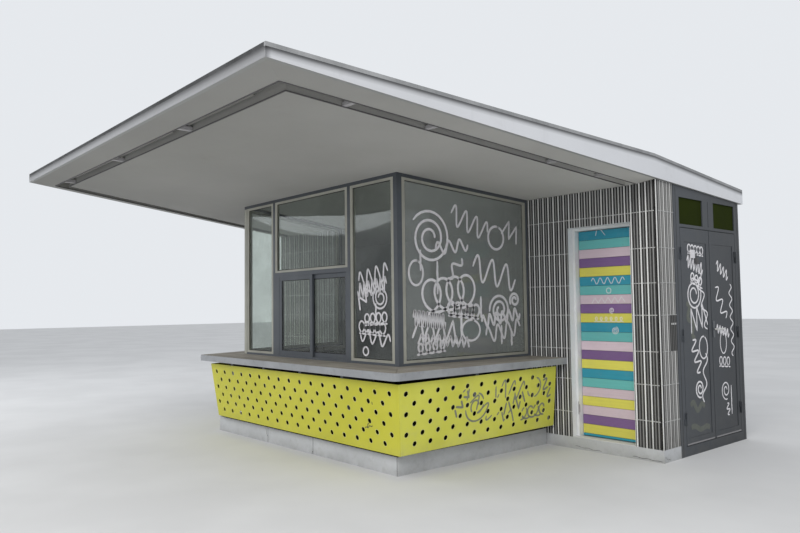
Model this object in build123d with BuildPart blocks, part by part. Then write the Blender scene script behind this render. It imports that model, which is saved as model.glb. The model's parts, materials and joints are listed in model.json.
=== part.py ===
from build123d import *
import os
from math import cos, radians, sin, tan

os.makedirs("parts", exist_ok=True)

# Street kiosk. X runs along the hatch front, Y runs back, Z is up.
# The origin is on the ground, straight under the glazed corner of the sales room.

# Plan of the glazed sales room
front_length = 2850
room_depth = 1885
side_splay = 18

# Heights of the sales room
floor_level = 116
ledge_top = 918
soffit_height = 2706
soffit_fall = 0.051

# Plan of the block behind it
block_right = 1520
block_back = 3615
return_depth = 315
wall_thickness = 215
back_wall_thickness = 115
tile_thickness = 25

# Roof
roof_front = 2275
roof_back = 3700
roof_right = 1540
roof_left_at_front = 3400
roof_splay = 22.5
margin_width = 222
margin_rise = 24
slot_width = 120
slot_depth = 75
edge_depth_front = 88
top_fall_front = 0.0176
ridge_y = 1850
top_fall_back = 0.088
fascia_thickness = 25
covering_thickness = 26
soffit_thickness = 15

# Ledge and the leaning sheets under it
ledge_front = 450
ledge_right = 475
ledge_left = 396
ledge_thickness = 45
ledge_edge_height = 66
ledge_edge_thickness = 4
ledge_corner_radius = 55
plinth_out = 195
plinth_left_out = 300
plinth_height = 165
apron_thickness = 115
sheet_top = 817
sheet_bottom = 193
sheet_front_top_out = 371
sheet_front_bottom_out = 254
sheet_right_top_out = 421
sheet_right_bottom_out = 299
sheet_left_top_out = 242
sheet_left_bottom_out = 234
sheet_thickness = 3
sheet_corner_gap = 4
sheet_left_end_gap = 5
sheet_right_foot_gap = 24
sheet_right_head_gap = 118
sheet_right_climb = 0.0085
hole_diameter = 46
hole_rows = 6
hole_row_spacing = 91.1
hole_top_margin = 88
front_hole_pitch = 196.9
front_hole_start = 2868
front_hole_shift = 13
front_hole_columns = 17
side_hole_pitch = 186.7
side_hole_start = 97
side_hole_shift = 15.2
side_hole_columns = 11
bracket_width = 40
bracket_foot = 420
bracket_nose = 520
bracket_spacing = 700
bracket_clearance = 0.6

# Window framing
post_size = 60
near_post_width = 53
far_post_width = 36
rail_height = 34
sill_height = 24
sash_width = 38
sash_rail = 24
sash_depth = 36
sash_setback = 2
glass_thickness = 8
right_bay = 664
right_mullion = 47
hatch_bay = 1377
left_mullion = 42
transom_top = 1864
transom_height = 44
hatch_jamb_left = 91
hatch_jamb_right = 26
hatch_stile = 48
hatch_overlap = 6
slide_depth = 20
slide_gap = 4
slide_play = 0.3

# Striped door
door_left = 525
door_width = 710
door_head = 2252
door_recess = 140
door_lining_reach = 60
door_leaf_thickness = 40
door_frame_width = 28
door_hinge_gap = 5
door_latch_gap = 7
door_top_gap = 6
door_floor_gap = 8

# Steel double door in the right side
steel_meeting_gap = 9
steel_depth = 60
steel_jamb = 110
steel_leaf_thickness = 40
steel_sill = 95
steel_leaf_drop = 506
steel_rail = 30
steel_gap = 6
steel_pane_drop = 206
steel_pane_thickness = 12
steel_mullion = 115
steel_panel_recess = 4
steel_stile = 64
steel_top_rail = 135
handle_height = 1195
handle_inset = 34
handle_length = 150
handle_plate_height = 170
handle_plate_width = 36
handle_plate_rounding = 12
handle_plate_thickness = 6
handle_bar = 18
handle_stand = 48

# Hinges of all three leaves
hinge_out = 8
hinge_diameter = 14
hinge_half = 60
hinge_flap = 30
hinge_flap_thickness = 5
hinge_play = 0.5
lowest_hinge = 0.12
middle_hinge = 0.5
highest_hinge = 0.88

# Strip lights in the slot of the roof
light_width = 62
light_height = 34
light_length = 1180
light_spacing = 1260
light_end = 150

# Small clearance between pieces that only meet in use, and the room left round a blank before it is cut
joint_gap = 2
blank_margin = 100

splay = radians(side_splay)
edge_splay = radians(roof_splay)


# Faces of the sales room, each as a plane with its x along the face and its y pointing outwards
front_face = Plane(origin=(0, 0, 0), x_dir=(-1, 0, 0), z_dir=(0, 0, 1))
right_face = Plane(origin=(0, room_depth, 0), x_dir=(0, -1, 0), z_dir=(0, 0, 1))
left_face = Plane(origin=(-front_length, 0, 0), x_dir=(-sin(splay), cos(splay), 0), z_dir=(0, 0, 1))
left_length = room_depth / cos(splay)


def left_x(y, out):
    """X of a line parallel to the left glazing and 'out' outside it, at depth y."""
    return -front_length - y * tan(splay) - out / cos(splay)


def roof_left_x(y, inside=0):
    """X of a line parallel to the roof's left edge and 'inside' within it, at depth y."""
    return -roof_left_at_front - (y + roof_front) * tan(edge_splay) + inside / cos(edge_splay)


def soffit_plane(rise=0):
    """Plane parallel to the sloping soffit, 'rise' above it."""
    return Plane(origin=(0, 0, soffit_height + rise), x_dir=(1, 0, 0), z_dir=(0, soffit_fall, 1))


def save(piece, name):
    piece.part.label = name
    export_step(piece.part, "parts/" + name + ".step")


# Roof planes
top_front_z = soffit_height + soffit_fall * roof_front + margin_rise + edge_depth_front
ridge_z = top_front_z - top_fall_front * (roof_front + ridge_y)


def top_planes(drop=0):
    """The two planes of the roof's top, 'drop' below the covering's surface."""
    front = Plane(origin=(0, -roof_front, top_front_z - drop), x_dir=(1, 0, 0), z_dir=(0, top_fall_front, 1))
    back = Plane(origin=(0, ridge_y, ridge_z - drop), x_dir=(1, 0, 0), z_dir=(0, top_fall_back, 1))
    return front, back


def soffit_z(y):
    return soffit_height - soffit_fall * y


bevel = margin_rise / margin_width
slot_right = roof_right - margin_width
slot_front = roof_front - margin_width
slot_back = roof_back - margin_width
slot_left_at_front = roof_left_x(-slot_front, margin_width)
bevel_right = Plane(origin=(slot_right, 0, soffit_z(0)), x_dir=(0, 1, -soffit_fall),
                    z_dir=(-bevel, soffit_fall, 1))
bevel_front = Plane(origin=(0, -slot_front, soffit_z(-slot_front)), x_dir=(1, 0, 0),
                    z_dir=(0, soffit_fall + bevel, 1))
bevel_back = Plane(origin=(0, slot_back, soffit_z(slot_back)), x_dir=(1, 0, 0),
                   z_dir=(0, soffit_fall - bevel, 1))
bevel_left = Plane(origin=(slot_left_at_front, -slot_front, soffit_z(-slot_front)),
                   z_dir=(bevel * cos(edge_splay), soffit_fall + bevel * sin(edge_splay), 1))


def roof_outline(inside=0):
    """Corners of the roof's plan, 'inside' within its edge, from front right counted clockwise."""
    front = -roof_front + inside
    back = roof_back - inside
    right = roof_right - inside
    front_left = (roof_left_x(front, inside), front)
    back_left = (roof_left_x(back, inside), back)
    return [(right, front), front_left, back_left, (right, back)]


roof_low = soffit_z(roof_back) - blank_margin
roof_tall = top_front_z - roof_low + blank_margin


def trim_roof(drop=0):
    """Cut the part in hand to the roof's top planes and its soffit and margins."""
    for top in top_planes(drop):
        split(bisect_by=top, keep=Keep.BOTTOM)
    for low in (soffit_plane(), bevel_right, bevel_front, bevel_back, bevel_left):
        split(bisect_by=low, keep=Keep.TOP)


with BuildPart() as roof_envelope:
    with BuildSketch(Plane.XY.offset(roof_low)):
        with BuildLine():
            Polyline(*roof_outline(), close=True)
        make_face()
    extrude(amount=roof_tall)
    trim_roof()

# Strip lights' slot: a band inside the margin on the front and both sides, up to the tiled wall
slot_end = room_depth
slot_outer = [(slot_right, slot_end), (slot_right, -slot_front), (slot_left_at_front, -slot_front),
              (roof_left_x(slot_end, margin_width), slot_end)]
inner_margin = margin_width + slot_width
slot_inner = [(roof_left_x(slot_end, inner_margin), slot_end),
              (roof_left_x(-roof_front + inner_margin, inner_margin), -roof_front + inner_margin),
              (roof_right - inner_margin, -roof_front + inner_margin),
              (roof_right - inner_margin, slot_end)]

with BuildPart() as slot_void:
    with BuildSketch(Plane.XY.offset(roof_low)):
        with BuildLine():
            Polyline(*slot_outer, *slot_inner, close=True)
        make_face()
    extrude(amount=roof_tall)
    split(bisect_by=soffit_plane(slot_depth), keep=Keep.BOTTOM)

# Flat soffit board between the slots, over the pavement and the sales room
with BuildPart() as soffit_board:
    with BuildSketch(Plane.XY.offset(roof_low)):
        with BuildLine():
            Polyline(*slot_inner, close=True)
        make_face()
    extrude(amount=roof_tall)
    split(bisect_by=soffit_plane(soffit_thickness), keep=Keep.BOTTOM)
    split(bisect_by=soffit_plane(), keep=Keep.TOP)

with BuildPart() as roof_core:
    with BuildSketch(Plane.XY.offset(roof_low)):
        with BuildLine():
            Polyline(*roof_outline(fascia_thickness), close=True)
        make_face()
    extrude(amount=roof_tall)
    trim_roof(covering_thickness)
    add(slot_void.part, mode=Mode.SUBTRACT)
    add(soffit_board.part, mode=Mode.SUBTRACT)


# Everything under the covering's underside, used to part the covering from the rest
with BuildPart() as roof_under:
    with BuildSketch(Plane.XY.offset(roof_low)):
        with BuildLine():
            Polyline(*roof_outline(-joint_gap), close=True)
        make_face()
    extrude(amount=roof_tall)
    for under_top in top_planes(covering_thickness):
        split(bisect_by=under_top, keep=Keep.BOTTOM)

with BuildPart() as roof_covering:
    add(roof_envelope.part)
    add(roof_under.part, mode=Mode.SUBTRACT)


def fascia(first, second):
    """Edge board along one side of the roof, between two corners of its outline, mitred."""
    outer = roof_outline()
    inner = roof_outline(fascia_thickness)
    with BuildPart() as board:
        with BuildSketch(Plane.XY.offset(roof_low)):
            with BuildLine():
                Polyline(outer[first], outer[second], inner[second], inner[first], close=True)
            make_face()
        extrude(amount=roof_tall)
        trim_roof(covering_thickness)
    return board


save(roof_core, "roof_core")
save(roof_covering, "roof_covering")
save(soffit_board, "soffit_board")
save(fascia(0, 1), "fascia_front")
save(fascia(1, 2), "fascia_left")
save(fascia(2, 3), "fascia_back")
save(fascia(3, 0), "fascia_right")


def slot_lights(face, length):
    """Strip lights in a row along one face, hung from the slot's top."""
    count = int((length - 2 * light_end) // light_spacing)
    with BuildPart() as row:
        with BuildSketch(face):
            with Locations((length / 2, 0)):
                with GridLocations(light_spacing, 0, count, 1):
                    Rectangle(light_length, light_width)
        extrude(amount=light_height, dir=(0, 0, 1))
    return row


slot_middle = margin_width + slot_width / 2
light_drop = slot_depth - light_height
front_slot = Plane(origin=(roof_right - slot_middle, -roof_front + slot_middle,
                           soffit_z(-roof_front + slot_middle) + light_drop),
                   x_dir=(-1, 0, 0), z_dir=(0, soffit_fall, 1))
front_slot_length = roof_right - slot_middle - roof_left_x(-roof_front + slot_middle, slot_middle)
right_slot = Plane(origin=(roof_right - slot_middle, room_depth, soffit_z(room_depth) + light_drop),
                   x_dir=(0, -1, soffit_fall), z_dir=(0, soffit_fall, 1))
side_slot_length = room_depth + roof_front - slot_middle
left_slot = Plane(origin=(roof_left_x(-roof_front + slot_middle, slot_middle), -roof_front + slot_middle,
                          soffit_z(-roof_front + slot_middle) + light_drop),
                  x_dir=(-sin(edge_splay), cos(edge_splay), -soffit_fall * cos(edge_splay)),
                  z_dir=(0, soffit_fall, 1))

with BuildPart() as strip_lights:
    add(slot_lights(front_slot, front_slot_length).part)
    add(slot_lights(right_slot, side_slot_length).part)
    add(slot_lights(left_slot, side_slot_length / cos(edge_splay)).part)
save(strip_lights, "strip_lights")


def under_roof():
    """Cut the part in hand to the underside of the roof."""
    split(bisect_by=soffit_plane(margin_rise + joint_gap), keep=Keep.BOTTOM)
    add(roof_envelope.part, mode=Mode.SUBTRACT)


def prism(outline, low, high=None):
    """Upright prism on a plan outline, up to a height or to the underside of the roof."""
    with BuildPart() as upright:
        with BuildSketch(Plane.XY.offset(low)):
            with BuildLine():
                Polyline(*outline, close=True)
            make_face()
        if high is None:
            extrude(amount=roof_low + roof_tall - low)
            under_roof()
        else:
            extrude(amount=high - low)
    return upright.part


def rectangle(x0, x1, y0, y1):
    return [(x0, y0), (x1, y0), (x1, y1), (x0, y1)]


def join(name, *pieces):
    """One node of several pieces of the same kind."""
    with BuildPart() as group:
        for each in pieces:
            add(each)
    save(group, name)


# Plan of the block: outer faces, the masonry behind the tiles, the room inside
block_front = room_depth
edge_reveal = roof_right - block_right
masonry_front = block_front + tile_thickness
masonry_right = block_right - tile_thickness
masonry_back = block_back - tile_thickness
room_front = masonry_front + wall_thickness
room_back = masonry_back - back_wall_thickness
return_end = block_front + return_depth
door_right = door_left + door_width
wing_right = left_x(block_front, 0)
steel_inside = block_right - steel_depth


def block_left(y, inside=0):
    return roof_left_x(y, edge_reveal + inside)


def block_left_band(y0, y1, inside0, inside1):
    """Strip along the block's splayed left end, between two depths and two insets."""
    return [(block_left(y0, inside0), y0), (block_left(y0, inside1), y0),
            (block_left(y1, inside1), y1), (block_left(y1, inside0), y1)]


def block_row(y0, y1, inside, right):
    """Strip across the block, from its splayed left end to a given X."""
    return [(block_left(y0, inside), y0), (right, y0), (right, y1), (block_left(y1, inside), y1)]


# Masonry
left_wall_inside = tile_thickness + back_wall_thickness
join("wall_beside_door",
     prism(rectangle(0, door_left, masonry_front, room_front), floor_level),
     prism(rectangle(door_right, masonry_right, masonry_front, return_end), floor_level))
join("wall_over_door", prism(rectangle(door_left, door_right, masonry_front, room_front), door_head))
join("wall_wing", prism(block_row(masonry_front, room_front, tile_thickness, wing_right), floor_level))
join("wall_left_end",
     prism(block_left_band(room_front, room_back, tile_thickness, left_wall_inside), floor_level))
join("wall_back", prism(block_row(room_back, masonry_back, tile_thickness, steel_inside), floor_level))

# Ribbed tiles
corner_tiles = [(door_right, block_front), (block_right, block_front), (block_right, return_end),
                (masonry_right, return_end), (masonry_right, masonry_front), (door_right, masonry_front)]
join("tiles_beside_door",
     prism(rectangle(0, door_left, block_front, masonry_front), floor_level),
     prism(corner_tiles, floor_level))
join("tiles_over_door", prism(rectangle(door_left, door_right, block_front, masonry_front), door_head))
join("tiles_wing", prism(block_row(block_front, masonry_front, 0, wing_right), floor_level))
join("tiles_left_end", prism(block_left_band(masonry_front, masonry_back, 0, tile_thickness), floor_level))
join("tiles_back", prism(block_row(masonry_back, block_back, 0, steel_inside), floor_level))

# Concrete base: the block's plinth, the sales room's plinth and the floor within both
wing_plinth_right = left_x(block_front, plinth_left_out) - joint_gap
join("plinth_block",
     prism(rectangle(plinth_out + joint_gap, block_right, block_front, return_end), 0, floor_level),
     prism(block_row(block_front, room_front, 0, wing_plinth_right), 0, floor_level),
     prism(block_left_band(room_front + joint_gap, room_back - joint_gap, 0, left_wall_inside),
           0, floor_level),
     prism(block_row(room_back, block_back, 0, steel_inside), 0, floor_level))


def ledge_corner(front_out, right_out):
    return right_out, -front_out


def splayed_corner(front_out, left_out):
    return left_x(-front_out, left_out), -front_out


def room_bands(outer, inner, low, high, end=room_depth):
    """Front, right and left bands round the sales room, parted by open mitres.

    outer and inner hold the distances outside the front, right and left glazing lines.
    """
    near_out = ledge_corner(outer[0], outer[1])
    near_in = ledge_corner(inner[0], inner[1])
    far_out = splayed_corner(outer[0], outer[2])
    far_in = splayed_corner(inner[0], inner[2])
    step = 2 * joint_gap
    front = [far_out, near_out, near_in, far_in]
    right = [(near_out[0], near_out[1] + step), (outer[1], end), (inner[1], end),
             (near_in[0], near_in[1] + step)]
    left = [(left_x(far_out[1] + step, outer[2]), far_out[1] + step), (left_x(end, outer[2]), end),
            (left_x(end, inner[2]), end), (left_x(far_in[1] + step, inner[2]), far_in[1] + step)]
    return [prism(band, low, high) for band in (front, right, left)]


wall_in = (-apron_thickness, -apron_thickness, -apron_thickness)
glazing = (0, 0, 0)
ledge_edge = (ledge_front, ledge_right, ledge_left)
board_edge = (ledge_front - ledge_edge_thickness, ledge_right - ledge_edge_thickness,
              ledge_left - ledge_edge_thickness)
ledge_under = ledge_top - ledge_thickness
plinth_end = block_front - joint_gap
side_start = apron_thickness + joint_gap
join("plinth_sales_room",
     prism([splayed_corner(plinth_out, plinth_left_out), ledge_corner(plinth_out, plinth_out),
            (plinth_out, apron_thickness), (left_x(apron_thickness, plinth_left_out), apron_thickness)],
           0, plinth_height),
     prism(rectangle(-apron_thickness, plinth_out, side_start, plinth_end), 0, plinth_height),
     prism([(left_x(side_start, plinth_left_out), side_start),
            (left_x(side_start, -apron_thickness), side_start),
            (left_x(plinth_end, -apron_thickness), plinth_end),
            (left_x(plinth_end, plinth_left_out), plinth_end)],
           0, plinth_height))
join("apron_walls", *room_bands(glazing, wall_in, plinth_height, ledge_under, block_front - joint_gap))

slab_gap = joint_gap
slab_front_right = (-apron_thickness - slab_gap, apron_thickness + slab_gap)
slab_outline = [slab_front_right,
                (left_x(slab_front_right[1], -apron_thickness - slab_gap), slab_front_right[1]),
                (left_x(block_front, -apron_thickness - slab_gap), block_front),
                (left_x(block_front, plinth_left_out), block_front),
                (left_x(block_front, plinth_left_out), room_front + slab_gap),
                (block_left(room_front + slab_gap, left_wall_inside + slab_gap), room_front + slab_gap),
                (block_left(room_back - slab_gap, left_wall_inside + slab_gap), room_back - slab_gap),
                (steel_inside, room_back - slab_gap),
                (steel_inside, return_end + slab_gap),
                (plinth_out, return_end + slab_gap),
                (plinth_out, block_front),
                (-apron_thickness - slab_gap, block_front)]
join("floor_slab", prism(slab_outline, 0, floor_level))

# Ledge: boards with rounded outer corners, and the metal edge round them
def ledge_plan(edge, low, high):
    """Full plate of the ledge's outline with its two rounded outer corners."""
    corners = [(edge[1], room_depth), ledge_corner(edge[0], edge[1]), splayed_corner(edge[0], edge[2]),
               (left_x(room_depth, edge[2]), room_depth)]
    with BuildPart() as plate:
        with BuildSketch(Plane.XY.offset(low)):
            with BuildLine():
                Polyline(*corners, close=True)
            make_face()
        extrude(amount=high - low)
        outer_edges = plate.edges().filter_by(Axis.Z).group_by(Axis.Y)[0]
        fillet(outer_edges, radius=ledge_corner_radius)
    return plate.part


ledge_bands = room_bands(ledge_edge, wall_in, ledge_under, ledge_top)
ledge_plate = ledge_plan(board_edge, ledge_under, ledge_top)
with BuildPart() as ledge_boards:
    for band in ledge_bands:
        add(band)
    add(ledge_plate, mode=Mode.INTERSECT)
save(ledge_boards, "ledge_boards")

with BuildPart() as ledge_metal:
    add(ledge_plan(ledge_edge, ledge_top - ledge_edge_height, ledge_top))
    add(ledge_plan(board_edge, ledge_top - ledge_edge_height, ledge_top), mode=Mode.SUBTRACT)
save(ledge_metal, "ledge_metal_edge")


# Perforated sheets that lean in from under the ledge to the plinth
sheet_height = sheet_top - sheet_bottom


def sheet_plane(foot, facing, lean):
    """Plane of a leaning sheet: foot is a point of its lower edge, facing its outward direction in plan."""
    return Plane(origin=(foot[0], foot[1], sheet_bottom), x_dir=(-facing[1], facing[0], 0),
                 z_dir=(facing[0] * sheet_height, facing[1] * sheet_height, -lean))


def leaning_sheet(plane, foot_ends, head_ends, holes, climb=0):
    """Perforated sheet on a leaning plane, between two lower and two upper corners.

    With a climb its edges rise by that share of the way along it.
    """
    low = [plane.to_local_coords(Vector(x, y, sheet_bottom)) for x, y in foot_ends]
    high = [plane.to_local_coords(Vector(x, y, sheet_top)) for x, y in head_ends]
    with BuildPart() as sheet:
        with BuildSketch(plane):
            with BuildLine():
                Polyline(*[(p.X, p.Y + climb * p.X) for p in (low[0], low[1], high[1], high[0])], close=True)
            make_face()
            with Locations(*holes):
                Circle(hole_diameter / 2, mode=Mode.SUBTRACT)
        extrude(amount=-sheet_thickness)
    return sheet


def hole_grid(lean, start, pitch, shift, columns, odd_columns, climb=0):
    """Staggered holes: rows from the top, odd rows half a pitch on, each row shifted a little further."""
    slope = (sheet_height ** 2 + lean ** 2) ** 0.5
    holes = []
    for row in range(hole_rows):
        odd = row % 2
        for column in range(odd_columns if odd else columns):
            along = start + shift * row + pitch * (column + odd / 2)
            holes.append((along, slope - hole_top_margin - hole_row_spacing * row + climb * along))
    return holes


lean_front = sheet_front_top_out - sheet_front_bottom_out
lean_right = sheet_right_top_out - sheet_right_bottom_out
lean_left = sheet_left_top_out - sheet_left_bottom_out
near_foot = ledge_corner(sheet_front_bottom_out, sheet_right_bottom_out)
near_head = ledge_corner(sheet_front_top_out, sheet_right_top_out)
far_foot = splayed_corner(sheet_front_bottom_out, sheet_left_bottom_out)
far_head = splayed_corner(sheet_front_top_out, sheet_left_top_out)

front_sheet = leaning_sheet(
    sheet_plane((0, -sheet_front_bottom_out), (0, -1), lean_front),
    (far_foot, near_foot), (far_head, near_head),
    hole_grid(lean_front, -front_hole_start, front_hole_pitch, -front_hole_shift,
              front_hole_columns, front_hole_columns - 1))
save(front_sheet, "perforated_sheet_front")

right_sheet = leaning_sheet(
    sheet_plane((sheet_right_bottom_out, -sheet_front_top_out), (1, 0), lean_right),
    ((near_foot[0], near_foot[1] + sheet_corner_gap), (near_foot[0], room_depth - sheet_right_foot_gap)),
    ((near_head[0], near_head[1] + sheet_corner_gap), (near_head[0], room_depth - sheet_right_head_gap)),
    hole_grid(lean_right, side_hole_start, side_hole_pitch, side_hole_shift,
              side_hole_columns, side_hole_columns, sheet_right_climb),
    sheet_right_climb)
save(right_sheet, "perforated_sheet_right")

left_facing = (-cos(splay), -sin(splay))
left_sheet_end = room_depth - sheet_left_end_gap
left_foot_end = (left_x(left_sheet_end, sheet_left_bottom_out), left_sheet_end)
left_head_end = (left_x(left_sheet_end, sheet_left_top_out), left_sheet_end)
left_foot_y = far_foot[1] + sheet_corner_gap
left_head_y = far_head[1] + sheet_corner_gap
left_sheet = leaning_sheet(
    sheet_plane(left_foot_end, left_facing, lean_left),
    (left_foot_end, (left_x(left_foot_y, sheet_left_bottom_out), left_foot_y)),
    (left_head_end, (left_x(left_head_y, sheet_left_top_out), left_head_y)),
    hole_grid(lean_left, side_hole_start, side_hole_pitch, 0, side_hole_columns, side_hole_columns))
save(left_sheet, "perforated_sheet_left")


def bracket(face, along, lean, bottom_out):
    """Steel bracket that carries the ledge and the leaning sheet, at a distance along one face."""
    across = Plane(origin=face.from_local_coords(Vector(along + bracket_width / 2, 0, 0)),
                   x_dir=face.y_dir, z_dir=face.x_dir * -1)
    inset = sheet_thickness + bracket_clearance

    def reach(z):
        return bottom_out + lean * (z - sheet_bottom) / sheet_height - inset

    up = 1 if across.y_dir.Z > 0 else -1
    shape = [(0, ledge_under), (reach(sheet_top), ledge_under), (reach(sheet_top), sheet_top),
             (reach(bracket_nose), bracket_nose), (0, bracket_foot)]
    with BuildPart() as arm:
        with BuildSketch(across):
            with BuildLine():
                Polyline(*[(out, up * z) for out, z in shape], close=True)
            make_face()
        extrude(amount=bracket_width)
    return arm.part


def brackets(face, length, lean, bottom_out):
    count = int(length // bracket_spacing)
    first = (length - (count - 1) * bracket_spacing) / 2
    return [bracket(face, first + step * bracket_spacing, lean, bottom_out) for step in range(count)]


join("ledge_brackets",
     *brackets(front_face, front_length, lean_front, sheet_front_bottom_out),
     *brackets(right_face, room_depth, lean_right, sheet_right_bottom_out),
     *brackets(left_face, left_length, lean_left, sheet_left_bottom_out))


# Windows: posts at the corners and ends, mullions, head and sill rails between them
def bar(face, along, across, low, high=None, drop=0):
    """Upright bar on one face: its stretch along the face, its reach outwards, and its heights.

    With no high it runs up to 'drop' below the soffit.
    """
    with BuildPart() as piece:
        with BuildSketch(face.offset(low)):
            with Locations(((along[0] + along[1]) / 2, (across[0] + across[1]) / 2)):
                Rectangle(along[1] - along[0], across[1] - across[0])
        extrude(amount=(high or roof_low + roof_tall) - low)
        if high is None:
            split(bisect_by=soffit_plane(-drop), keep=Keep.BOTTOM)
    return piece.part


frame_depth = (-post_size, 0)
right_bay_end = near_post_width + right_bay
hatch_start = right_bay_end + right_mullion
hatch_end = hatch_start + hatch_bay
left_bay_start = hatch_end + left_mullion
left_bay_end = front_length - post_size
side_end = room_depth - post_size
left_side_end = (side_end - post_size * sin(splay)) / cos(splay)
left_start_in = left_face.from_local_coords(Vector(post_size, -post_size, 0))
left_start_out = left_face.from_local_coords(Vector(post_size, 0, 0))
left_stop_in = left_face.from_local_coords(Vector(left_side_end, -post_size, 0))
left_stop_out = left_face.from_local_coords(Vector(left_side_end, 0, 0))
left_post = [(-front_length, 0), (-front_length + post_size, 0), (-front_length + post_size, post_size),
             (left_start_in.X, left_start_in.Y), (left_start_out.X, left_start_out.Y)]
left_end_post = [(left_stop_out.X, left_stop_out.Y), (wing_right, room_depth),
                 (wing_right + post_size, room_depth), (left_stop_in.X, left_stop_in.Y)]
left_field = (post_size, left_side_end)

join("window_posts",
     prism(rectangle(-near_post_width, 0, 0, post_size), ledge_top),
     prism(left_post, ledge_top),
     bar(right_face, (0, far_post_width), frame_depth, ledge_top),
     prism(left_end_post, ledge_top),
     bar(front_face, (right_bay_end, hatch_start), frame_depth, ledge_top, drop=rail_height),
     bar(front_face, (hatch_end, left_bay_start), frame_depth, ledge_top, drop=rail_height))

right_along = (far_post_width, room_depth - post_size)


def minus(whole, *parts):
    with BuildPart() as rest:
        add(whole)
        for each in parts:
            add(each, mode=Mode.SUBTRACT)
    return rest.part


def rail(face, along):
    """Head rail along a face, under the soffit."""
    return minus(bar(face, along, frame_depth, ledge_top),
                 bar(face, along, frame_depth, ledge_top, drop=rail_height))


join("window_head_rails",
     rail(front_face, (near_post_width, left_bay_end)),
     rail(right_face, right_along),
     rail(left_face, left_field))
sill_top = ledge_top + sill_height
join("window_sill_rails",
     bar(front_face, (near_post_width, right_bay_end), frame_depth, ledge_top, sill_top),
     bar(front_face, (left_bay_start, left_bay_end), frame_depth, ledge_top, sill_top),
     bar(right_face, right_along, frame_depth, ledge_top, sill_top),
     bar(left_face, left_field, frame_depth, ledge_top, sill_top))
transom_bottom = transom_top - transom_height
join("hatch_transom", bar(front_face, (hatch_start, hatch_end), frame_depth, transom_bottom, transom_top))

sash_across = (-sash_setback - sash_depth, -sash_setback)
glass_middle = -sash_setback - sash_depth / 2
glass_across = (glass_middle - glass_thickness / 2, glass_middle + glass_thickness / 2)


def sash(face, field, low):
    """Fixed sash frame that fills a field up to the head rail."""
    inner = (field[0] + sash_width, field[1] - sash_width)
    return minus(bar(face, field, sash_across, low, drop=rail_height),
                 bar(face, inner, sash_across, low + sash_rail, drop=rail_height + sash_rail))


def pane(face, field, low):
    """Glass of a fixed sash."""
    inner = (field[0] + sash_width, field[1] - sash_width)
    return bar(face, inner, glass_across, low + sash_rail, drop=rail_height + sash_rail)


front_fields = (((near_post_width, right_bay_end), sill_top), ((hatch_start, hatch_end), transom_top),
                ((left_bay_start, left_bay_end), sill_top))
join("window_sashes", *[sash(front_face, field, low) for field, low in front_fields],
     sash(right_face, right_along, sill_top), sash(left_face, left_field, sill_top))
join("window_glass", *[pane(front_face, field, low) for field, low in front_fields],
     pane(right_face, right_along, sill_top), pane(left_face, left_field, sill_top))

# Hatch: frame of two jambs and a track, and two sliding sashes one behind the other
hatch_clear = (hatch_start + hatch_jamb_right, hatch_end - hatch_jamb_left)
hatch_middle = (hatch_clear[0] + hatch_clear[1]) / 2
hatch_track = ledge_top + sill_height
join("hatch_frame",
     bar(front_face, (hatch_start, hatch_clear[0]), frame_depth, hatch_track, transom_bottom),
     bar(front_face, (hatch_clear[1], hatch_end), frame_depth, hatch_track, transom_bottom),
     bar(front_face, (hatch_start, hatch_end), frame_depth, ledge_top, hatch_track))


def slider(along, across):
    inner = (along[0] + hatch_stile, along[1] - hatch_stile)
    low = hatch_track + slide_play
    high = transom_bottom - slide_play
    frame = minus(bar(front_face, along, across, low, high),
                  bar(front_face, inner, across, low + hatch_stile, high - hatch_stile))
    middle = (across[0] + across[1]) / 2
    glass = bar(front_face, inner, (middle - glass_thickness / 2, middle + glass_thickness / 2),
                low + hatch_stile, high - hatch_stile)
    return frame, glass


outer_track = (-sash_setback - slide_depth, -sash_setback)
inner_track = (outer_track[0] - slide_gap - slide_depth, outer_track[0] - slide_gap)
meeting_half = (hatch_stile + hatch_overlap) / 2
right_slider = slider((hatch_clear[0] + slide_play, hatch_middle + meeting_half), inner_track)
left_slider = slider((hatch_middle - meeting_half, hatch_clear[1] - slide_play), outer_track)
join("hatch_sashes", right_slider[0], left_slider[0])
join("hatch_glass", right_slider[1], left_slider[1])


# Striped door, hinged at its right and opening inwards
def hinge_part(x, y, low, flap_x, flap_y):
    """Half a hinge: its barrel round the pin's line and its flap against the wood or steel."""
    with BuildPart() as half:
        with BuildSketch(Plane.XY.offset(low)):
            with Locations((x, y)):
                Circle(hinge_diameter / 2)
            with Locations(((flap_x[0] + flap_x[1]) / 2, (flap_y[0] + flap_y[1]) / 2)):
                Rectangle(flap_x[1] - flap_x[0], flap_y[1] - flap_y[0])
        extrude(amount=hinge_half - hinge_play)
    return half.part


leaf_front = block_front + door_recess
lining_front = leaf_front - door_lining_reach
leaf_back = leaf_front + door_leaf_thickness
lining_left = door_left + door_frame_width
lining_right = door_right - door_frame_width
lining_head = door_head - door_frame_width
door_axis_x = lining_right - door_hinge_gap / 2
door_axis_y = leaf_back + hinge_out
leaf_low = floor_level + door_floor_gap
leaf_high = lining_head - door_top_gap
leaf_left = lining_left + door_latch_gap
leaf_right = lining_right - door_hinge_gap
hinge_levels = (lowest_hinge, middle_hinge, highest_hinge)
door_hinge_heights = [leaf_low + share * (leaf_high - leaf_low) for share in hinge_levels]
hinge_seat = (leaf_back, leaf_back + hinge_flap_thickness)

with BuildPart() as door_frame:
    add(prism(rectangle(door_left, lining_left, lining_front, leaf_back), floor_level, door_head))
    add(prism(rectangle(lining_right, door_right, lining_front, leaf_back), floor_level, door_head))
    add(prism(rectangle(door_left, door_right, lining_front, leaf_back), lining_head, door_head))
    for level in door_hinge_heights:
        add(hinge_part(door_axis_x, door_axis_y, level - hinge_half,
                       (door_axis_x, door_axis_x + hinge_flap), hinge_seat))
save(door_frame, "door_frame")

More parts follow.
